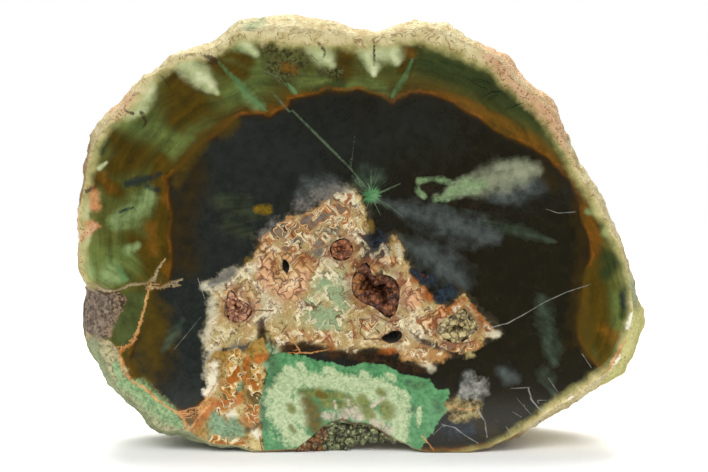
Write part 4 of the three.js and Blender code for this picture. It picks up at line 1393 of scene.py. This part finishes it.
def refine(mesh: bmesh.types.BMesh, limit: Callable[[Vector], float], rounds: int = 7) -> None:
    """Halves the edges of a mesh until none is longer than its limit.

    Args:
        mesh: The mesh to refine.
        limit: A function that gives the longest edge allowed at a place.
        rounds: How often an edge may be halved.
    """
    for _ in range(rounds):
        long = [e for e in mesh.edges if e.calc_length() > limit((e.verts[0].co + e.verts[1].co) / 2)]
        if not long:
            return
        bmesh.ops.subdivide_edges(mesh, edges=long, cuts=1)
        bmesh.ops.triangulate(mesh, faces=[f for f in mesh.faces if len(f.verts) > 3])


def add_piece(name: str, mesh: bpy.types.Mesh, materials: list[bpy.types.Material]) -> bpy.types.Object:
    """Makes an object of a mesh and gives it its materials.

    Args:
        name: The object's name.
        mesh: Its mesh, in the frame.
        materials: One material for each slot.

    Returns:
        The new object.
    """
    for material in materials:
        mesh.materials.append(material)
    piece = bpy.data.objects.new(name, mesh)
    bpy.context.scene.collection.objects.link(piece)
    return piece


class Surface(Enum):
    """The material slots of the stone."""

    POLISHED = 0
    ROUGH = 1


@dataclass(frozen=True)
class Relief:
    """Fractal noise that moves the rough surface in and out.

    Attributes:
        size: Size of its coarsest lumps, in millimetres.
        share: How strong it is.
        octaves: How many finer octaves it has.
        stretch: How much slower it changes along the depth of the log.
        fading: How fast its finer octaves fade.
        ratio: How much finer each octave is than the one before.
    """

    size: float
    share: float
    octaves: int
    stretch: float = 1.0
    fading: float = 0.9
    ratio: float = 2.0

    def height(self, at: Vector) -> float:
        """The noise at a place in millimetres."""
        place = Vector((at.x, at.y * self.stretch, at.z)) / self.size
        return self.share * noise.fractal(place, self.fading, self.ratio, self.octaves)


@dataclass(frozen=True)
class Stone:
    """The stone itself.

    Attributes:
        face_step: Distance between two points of the polished face.
        rim_step: Longest edge near the polished face.
        rough_step: Longest edge elsewhere.
        rim_depth: How far behind the face the rim reaches.
        relief: How far the rough surface goes in and out.
        relief_depth: How far behind the face the relief has its full height.
        flat_height: Height up to which the worn feet stay flat.
        reliefs: The noises of the relief.
        clearance: Least distance from the rim to the face's own points, in steps.
        rim_corners: Number of corners of the rim's outline.
    """

    face_step: float = 0.62 * MM
    rim_step: float = 0.8 * MM
    rough_step: float = 1.6 * MM
    rim_depth: float = 7.0 * MM
    relief: float = 0.5 * MM
    relief_depth: float = 3.0 * MM
    flat_height: float = 0.3 * MM
    reliefs: tuple[Relief, ...] = (Relief(3.5, 1.0, 4, stretch=0.3), Relief(1.3, 0.5, 3))
    clearance: float = 0.55
    rim_corners: int = 240

    def build(self) -> bpy.types.Object:
        """Builds the refined stone.

        Returns:
            The finished piece.
        """
        low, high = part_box(STONE_NODE)
        shell = merged_copy(STONE_NODE)
        front = [f for f in shell.faces if all(abs(v.co.y - low.y) < IN_PLANE for v in f.verts)]
        bmesh.ops.delete(shell, geom=front, context="FACES")
        refine(shell, lambda at: self.rim_step if at.y < low.y + self.rim_depth else self.rough_step)
        self._roughen(shell, low, high)
        for face in shell.faces:
            face.material_index = Surface.ROUGH.value
            face.smooth = True
        self._close_face(shell, low.y)
        mesh = bpy.data.meshes.new("stone")
        shell.to_mesh(mesh)
        shell.free()
        self._draw(mesh, low.y)
        log.info("stone: %d triangles", len(mesh.polygons))
        return add_piece("stone", mesh, [PolishedWood().material(), RoughStone().material()])

    def _roughen(self, shell: bmesh.types.BMesh, low: Vector, high: Vector) -> None:
        """Moves the rough surface in and out, and keeps it inside the box and clear of the face.

        Args:
            shell: The stone without its polished face.
            low: The box's lowest corner.
            high: The box's highest corner.
        """
        shell.normal_update()
        moves = []
        for vert in shell.verts:
            fade = min(1.0, (vert.co.y - low.y) / self.relief_depth)
            bumps = sum(relief.height(vert.co / MM) for relief in self.reliefs)
            if any(not e.is_manifold for e in vert.link_edges):
                fade = 0.0
            moves.append(vert.normal * (self.relief * fade * bumps))
        for vert, move in zip(shell.verts, moves):
            at = vert.co + move
            at.x = min(max(at.x, low.x), high.x)
            at.y = min(max(at.y, low.y), high.y)
            at.z = min(max(at.z, low.z), high.z) if vert.co.z > self.flat_height else vert.co.z
            vert.co = at

    def _close_face(self, shell: bmesh.types.BMesh, front: float) -> None:
        """Fills the polished face with even triangles that meet the rough shell's open edges.

        Args:
            shell: The stone without its polished face.
            front: Where the polished face lies.
        """
        rim = [e for e in shell.edges if len(e.link_faces) == 1]
        verts = list({v: None for e in rim for v in e.verts})
        number = {v: i for i, v in enumerate(verts)}
        pairs = [(number[e.verts[0]], number[e.verts[1]]) for e in rim]
        places = np.array([(v.co.x, v.co.z) for v in verts])
        ends = np.array([(*places[a], *places[b]) for a, b in pairs])
        step = self.face_step
        low, high = places.min(axis=0), places.max(axis=0)
        rows = np.arange(low[1], high[1], step * math.sqrt(0.75))
        columns = np.arange(low[0], high[0], step)
        grid = np.array([(x + (i % 2) * step / 2, z) for i, z in enumerate(rows) for x in columns])
        grid = grid[self._inside(grid, ends)]
        grid = grid[self._distance(grid, places) > self.clearance * step]
        points = [Vector(p) for p in places] + [Vector(p) for p in grid]
        corners, _, faces, sources, _, _ = geometry.delaunay_2d_cdt(points, pairs, [], 0, 1e-9)
        middles = np.array([sum((corners[i] for i in f), Vector((0, 0))) / 3 for f in faces])
        placed = []
        for corner, source in zip(corners, sources):
            known = [i for i in source if i < len(verts)]
            placed.append(verts[known[0]] if known else shell.verts.new((corner.x, front, corner.y)))
        for keep, triangle in zip(self._inside(middles, ends), faces):
            if keep:
                face = shell.faces.new([placed[i] for i in triangle])
                face.material_index = Surface.POLISHED.value
                face.smooth = True
        for edge in rim:
            edge.smooth = False

    @staticmethod
    def _inside(places: np.ndarray, ends: np.ndarray) -> np.ndarray:
        """Which places lie inside closed lines given by the ends of their segments."""
        inside = np.zeros(len(places), bool)
        for ax, ay, bx, by in ends:
            crosses = (ay > places[:, 1]) != (by > places[:, 1])
            if crosses.any():
                inside ^= crosses & (places[:, 0] < ax + (places[:, 1] - ay) * (bx - ax) / (by - ay))
        return inside

    @staticmethod
    def _distance(places: np.ndarray, others: np.ndarray) -> np.ndarray:
        """Distance from each place to the nearest of some others."""
        nearest = np.full(len(places), np.inf)
        for x, y in others:
            nearest = np.minimum(nearest, np.hypot(places[:, 0] - x, places[:, 1] - y))
        return nearest

    def _draw(self, mesh: bpy.types.Mesh, front: float) -> None:
        """Stores the face's shapes on the mesh.

        Args:
            mesh: The stone's mesh.
            front: Where the polished face lies.
        """
        flat = np.empty(3 * len(mesh.vertices))
        mesh.vertices.foreach_get("co", flat)
        x, y, z = flat.reshape(-1, 3).T
        columns = ORIGIN_COLUMN + x / PICTURE_STEP
        rows = GROUND_ROW - z / PICTURE_STEP
        drawing = Drawing(columns, rows)
        for name, outline in (
            ("heart", HEARTWOOD),
            ("core", CORE),
            ("foot_block", FOOT_BLOCK),
            ("ochre_corner", OCHRE_CORNER),
            ("green_wedge", GREEN_WEDGE),
            ("granular_patch", GRANULAR_PATCH),
            ("mottled_band", MOTTLED_BAND),
            ("flake", FLAKE),
            ("edge", self._outer_rim(columns, rows, np.abs(y - front) < IN_PLANE)),
        ):
            drawing.area(name, outline)
        for layer in (*SAPWOOD, *HEARTWOOD_HAZES, *CORE_LAYERS, *STAINS, *CORNER, *BLOCK, *RIM, *SIDES):
            drawing.strokes(layer.name, layer.strokes)
        for name, strokes in BANDED_PARTS.items():
            drawing.strokes(name, strokes)
        for name, lines in LINES.items():
            drawing.lines(name, lines)
        drawing.fields["rind"] = self._rind_width(columns, rows) - drawing.fields["edge"]
        for name, values in drawing.fields.items():
            mesh.attributes.new(name, "FLOAT", "POINT").data.foreach_set("value", values.astype(np.float32))

    @staticmethod
    def _rind_width(columns: np.ndarray, rows: np.ndarray) -> np.ndarray:
        """How wide the pale rind is near each place."""
        total = np.zeros(len(columns))
        weights = np.zeros(len(columns))
        for column, row, width in RIND_WIDTHS:
            weight = 1.0 / (1.0 + (columns - column) ** 2 + (rows - row) ** 2) ** 2
            total += weight * width
            weights += weight
        return total / weights

    def _outer_rim(self, columns: np.ndarray, rows: np.ndarray, polished: np.ndarray) -> Points:
        """The polished face's outer edge as an outline in points of the picture.

        Args:
            columns: The picture's column of each vertex.
            rows: The picture's row of each vertex.
            polished: Which vertices lie in the face's plane.

        Returns:
            The outline.
        """
        right = columns - columns[polished].mean()
        up = rows[polished].mean() - rows
        turn = (np.arctan2(up, right) + math.pi) / (2 * math.pi)
        reach = np.hypot(right, up)
        sector = (turn * self.rim_corners).astype(int) % self.rim_corners
        outline = []
        for i in range(self.rim_corners):
            best = np.argmax(np.where(polished & (sector == i), reach, -1.0))
            outline.append((columns[best], rows[best]))
        return tuple(outline)


@dataclass(frozen=True)
class Crust:
    """The crystals that line one hollow.

    Attributes:
        node: The CAD node that they replace.
        slot: The record's material slot; not used.
        finish: Their look.
        grain: Half the size of one lump.
        spacing: Least distance between two lumps.
        seed: Start of the random numbers.
        step: Longest edge of the crust under the lumps.
        clearance: Least distance from the lumps to the polished face and to the ground.
        density: Most lumps for each square metre.
        least: Smallest size of a lump along its three directions, in grains.
        most: Largest size of a lump along its three directions, in grains.
    """

    node: str
    slot: str
    finish: CrystalFinish
    grain: float
    spacing: float
    seed: int
    step: float = 0.6 * MM
    clearance: float = 0.1 * MM
    density: float = 4.0e6
    least: tuple[float, float, float] = (0.6, 0.6, 0.45)
    most: tuple[float, float, float] = (1.25, 1.25, 0.95)

    def build(self) -> bpy.types.Object:
        """Refines the CAD crust and scatters lumps over it.

        Returns:
            The finished piece.
        """
        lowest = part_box(STONE_NODE)[0]
        crust = merged_copy(self.node)
        refine(crust, lambda at: self.step)
        mesh = bpy.data.meshes.new(self.node)
        crust.to_mesh(mesh)
        crust.free()
        material = self.finish.material()
        piece = add_piece(self.node + "_dressed", mesh, [material])
        self._scatter(piece, material)
        for vert in piece.data.vertices:
            vert.co.y = max(vert.co.y, lowest.y + self.clearance)
            vert.co.z = max(vert.co.z, lowest.z + self.clearance)
        for polygon in piece.data.polygons:
            polygon.use_smooth = True
        log.info("%s: %d triangles", piece.name, len(piece.data.polygons))
        return piece

    def _scatter(self, piece: bpy.types.Object, material: bpy.types.Material) -> None:
        """Scatters lumps over the crust with geometry nodes and makes the result the piece's own mesh.

        Args:
            piece: The crust.
            material: The material of the lumps.
        """
        tree = bpy.data.node_groups.new(self.node + "_lumps", "GeometryNodeTree")
        sockets = tree.interface
        sockets.new_socket("Geometry", in_out="INPUT", socket_type="NodeSocketGeometry")
        grain = sockets.new_socket("Lump radius", in_out="INPUT", socket_type="NodeSocketFloat")
        spacing = sockets.new_socket("Spacing", in_out="INPUT", socket_type="NodeSocketFloat")
        seed = sockets.new_socket("Seed", in_out="INPUT", socket_type="NodeSocketInt")
        sockets.new_socket("Geometry", in_out="OUTPUT", socket_type="NodeSocketGeometry")
        given = tree.nodes.new("NodeGroupInput")
        spread = tree.nodes.new("GeometryNodeDistributePointsOnFaces")
        spread.distribute_method = "POISSON"
        spread.inputs["Density Max"].default_value = self.density
        ball = tree.nodes.new("GeometryNodeMeshIcoSphere")
        ball.inputs["Subdivisions"].default_value = 2
        place = tree.nodes.new("GeometryNodeInstanceOnPoints")
        size = tree.nodes.new("FunctionNodeRandomValue")
        size.data_type = "FLOAT_VECTOR"
        size.inputs[0].default_value = self.least
        size.inputs[1].default_value = self.most
        realize = tree.nodes.new("GeometryNodeRealizeInstances")
        join = tree.nodes.new("GeometryNodeJoinGeometry")
        dress = tree.nodes.new("GeometryNodeSetMaterial")
        dress.inputs["Material"].default_value = material
        result = tree.nodes.new("NodeGroupOutput")
        for source, output, target, entry in (
            (given, "Geometry", spread, "Mesh"),
            (given, "Spacing", spread, "Distance Min"),
            (given, "Seed", spread, "Seed"),
            (given, "Lump radius", ball, "Radius"),
            (given, "Seed", size, "Seed"),
            (spread, "Points", place, "Points"),
            (spread, "Rotation", place, "Rotation"),
            (ball, "Mesh", place, "Instance"),
            (size, 0, place, "Scale"),
            (place, "Instances", realize, "Geometry"),
            (realize, "Geometry", join, "Geometry"),
            (given, "Geometry", join, "Geometry"),
            (join, "Geometry", dress, "Geometry"),
            (dress, "Geometry", result, "Geometry"),
        ):
            tree.links.new(source.outputs[output], target.inputs[entry])
        modifier = piece.modifiers.new("lumps", "NODES")
        modifier.node_group = tree
        modifier[grain.identifier] = self.grain
        modifier[spacing.identifier] = self.spacing
        modifier[seed.identifier] = self.seed
        seen = piece.evaluated_get(bpy.context.evaluated_depsgraph_get())
        mesh = bpy.data.meshes.new_from_object(seen)
        piece.modifiers.remove(modifier)
        piece.data = mesh


CRUSTS = (
    Crust(
        "main_vug_crust", "red_brown_crust", grain=1.2 * MM, spacing=1.35 * MM, seed=3,
        finish=CrystalFinish("red_brown_crystals", "260f06", "7d4420", "b07842", "a0692f", split=0.5),
    ),
    Crust(
        "left_vug_crust", "pink_crust", grain=1.0 * MM, spacing=1.15 * MM, seed=5,
        finish=CrystalFinish("pink_crystals", "4f2412", "b27c58", "e4ccae", "85421f", split=-34.0),
    ),
    Crust(
        "right_vug_crust", "olive_crust", grain=1.25 * MM, spacing=1.4 * MM, seed=7,
        finish=CrystalFinish("olive_crystals", "3f3018", "b3a26c", "ddd0a4", "cbb68c"),
    ),
    Crust(
        "upper_vug_crust", "russet_crust", grain=0.9 * MM, spacing=1.0 * MM, seed=9,
        finish=CrystalFinish("russet_crystals", "4a1e0c", "9a5c30", "d39f6c", "8a4a20"),
    ),
    Crust(
        "foot_hollow_crust", "pale_green_crust", grain=1.1 * MM, spacing=1.2 * MM, seed=11,
        finish=CrystalFinish("pale_green_crystals", "241a0e", "7f8659", "bcc8a0", "84501f", split=-9.0),
    ),
)


@dataclass(frozen=True)
class Lamp:
    """A soft light that looks at the stone.

    Attributes:
        name: Its name.
        place: Where it hangs, in metres.
        size: Its width, in metres.
        power: Its power, in watts.
        target: The place that it looks at.
    """

    name: str
    place: tuple[float, float, float]
    size: float
    power: float
    target: tuple[float, float, float] = (0.0, 0.0, 0.05)

    def build(self) -> None:
        """Hangs the light."""
        data = bpy.data.lights.new(self.name, "AREA")
        data.size = self.size
        data.energy = self.power
        light = bpy.data.objects.new(self.name, data)
        light.location = self.place
        towards = Vector(self.target) - light.location
        light.rotation_euler = towards.to_track_quat("-Z", "Y").to_euler()
        bpy.context.scene.collection.objects.link(light)


@dataclass(frozen=True)
class Studio:
    """The floor, the lights and the camera.

    Attributes:
        lens: The camera's focal length in millimetres.
        rise: How far the camera looks down, in degrees.
        middle: The picture's middle on the polished face, to the right and up.
        sky: Brightness of the surroundings overhead.
        dusk: Brightness of the surroundings at the sides and below.
        lamps: The lights.
        floor_side: How far the floor reaches to each side.
        floor_front: Where the floor starts.
        floor_back: Where the floor ends.
    """

    lens: float = 110.0
    rise: float = 5.0
    middle: tuple[float, float] = (
        (PICTURE_WIDTH / 2 - ORIGIN_COLUMN) * PICTURE_STEP,
        (GROUND_ROW - PICTURE_HEIGHT / 2) * PICTURE_STEP,
    )
    sky: float = 0.35
    dusk: float = 0.06
    lamps: tuple[Lamp, ...] = (
        Lamp("key", (-0.34, -0.78, 0.62), size=0.6, power=6.6),
        Lamp("fill", (0.4, -0.74, 0.56), size=0.7, power=4.0),
        Lamp("top", (0.0, 0.36, 0.8), size=0.7, power=13.0),
    )
    floor_side: float = 1.0
    floor_front: float = -0.1
    floor_back: float = 0.6

    def build(self) -> None:
        """Builds everything around the stone."""
        scene = bpy.context.scene
        scene.view_settings.view_transform = "Standard"
        self._world(scene)
        self._camera(scene)
        self._floor()
        for lamp in self.lamps:
            lamp.build()

    def _world(self, scene: bpy.types.Scene) -> None:
        """Surrounds the scene with dim light that looks white to the camera."""
        world = bpy.data.worlds.new("studio")
        world.use_nodes = True
        wiring = Wiring(world.node_tree)
        direction = wiring.node("ShaderNodeTexCoord", {}, {}, "Generated")
        up = wiring.separate(direction)[2]
        glow = wiring.smooth(up, -0.1, 0.6) * (self.sky - self.dusk) + self.dusk
        seen = wiring.node("ShaderNodeLightPath", {}, {}, "Is Camera Ray")
        inputs = {"Color": srgb("ffffff"), "Strength": wiring.math("MAXIMUM", seen, glow)}
        wiring.finish("ShaderNodeOutputWorld", wiring.node("ShaderNodeBackground", {}, inputs))
        scene.world = world

    def _camera(self, scene: bpy.types.Scene) -> None:
        """Places the camera straight in front of the polished face."""
        data = bpy.data.cameras.new("camera")
        data.lens = self.lens
        distance = PICTURE_WIDTH * PICTURE_STEP * data.lens / data.sensor_width
        tilt = math.radians(self.rise)
        target = Vector((self.middle[0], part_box(STONE_NODE)[0].y, self.middle[1]))
        camera = bpy.data.objects.new("camera", data)
        camera.location = target + Vector((0.0, -math.cos(tilt), math.sin(tilt))) * distance
        camera.rotation_euler = (math.pi / 2 - tilt, 0.0, 0.0)
        scene.collection.objects.link(camera)
        scene.camera = camera

    def _floor(self) -> None:
        """Lays a pale floor, short in front so that the polished face mirrors the dark."""
        side, front, back = self.floor_side, self.floor_front, self.floor_back
        verts = [(-side, front, 0.0), (side, front, 0.0), (side, back, 0.0), (-side, back, 0.0)]
        mesh = bpy.data.meshes.new("floor")
        mesh.from_pydata(verts, [], [(0, 1, 2, 3)])
        material, wiring = new_material("pale_floor")
        inputs = {
            "Base Color": (0.94, 0.94, 0.93, 1.0),
            "Roughness": 0.9,
            "Specular IOR Level": 0.1,
            "Emission Color": (1.0, 1.0, 0.99, 1.0),
            "Emission Strength": 0.02,
        }
        wiring.finish("ShaderNodeOutputMaterial", wiring.node("ShaderNodeBsdfPrincipled", {}, inputs))
        add_piece("floor", mesh, [material])


def main() -> None:
    """Builds the stone, its crusts and the studio."""
    logging.basicConfig(level=logging.INFO)
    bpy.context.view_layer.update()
    stone = Stone().build()
    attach(stone, BODY)
    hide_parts(STONE_NODE)
    for crust in CRUSTS:
        piece = crust.build()
        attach(piece, BODY)
        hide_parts(crust.node)
    Studio().build()


if __name__ == "__main__":
    main()
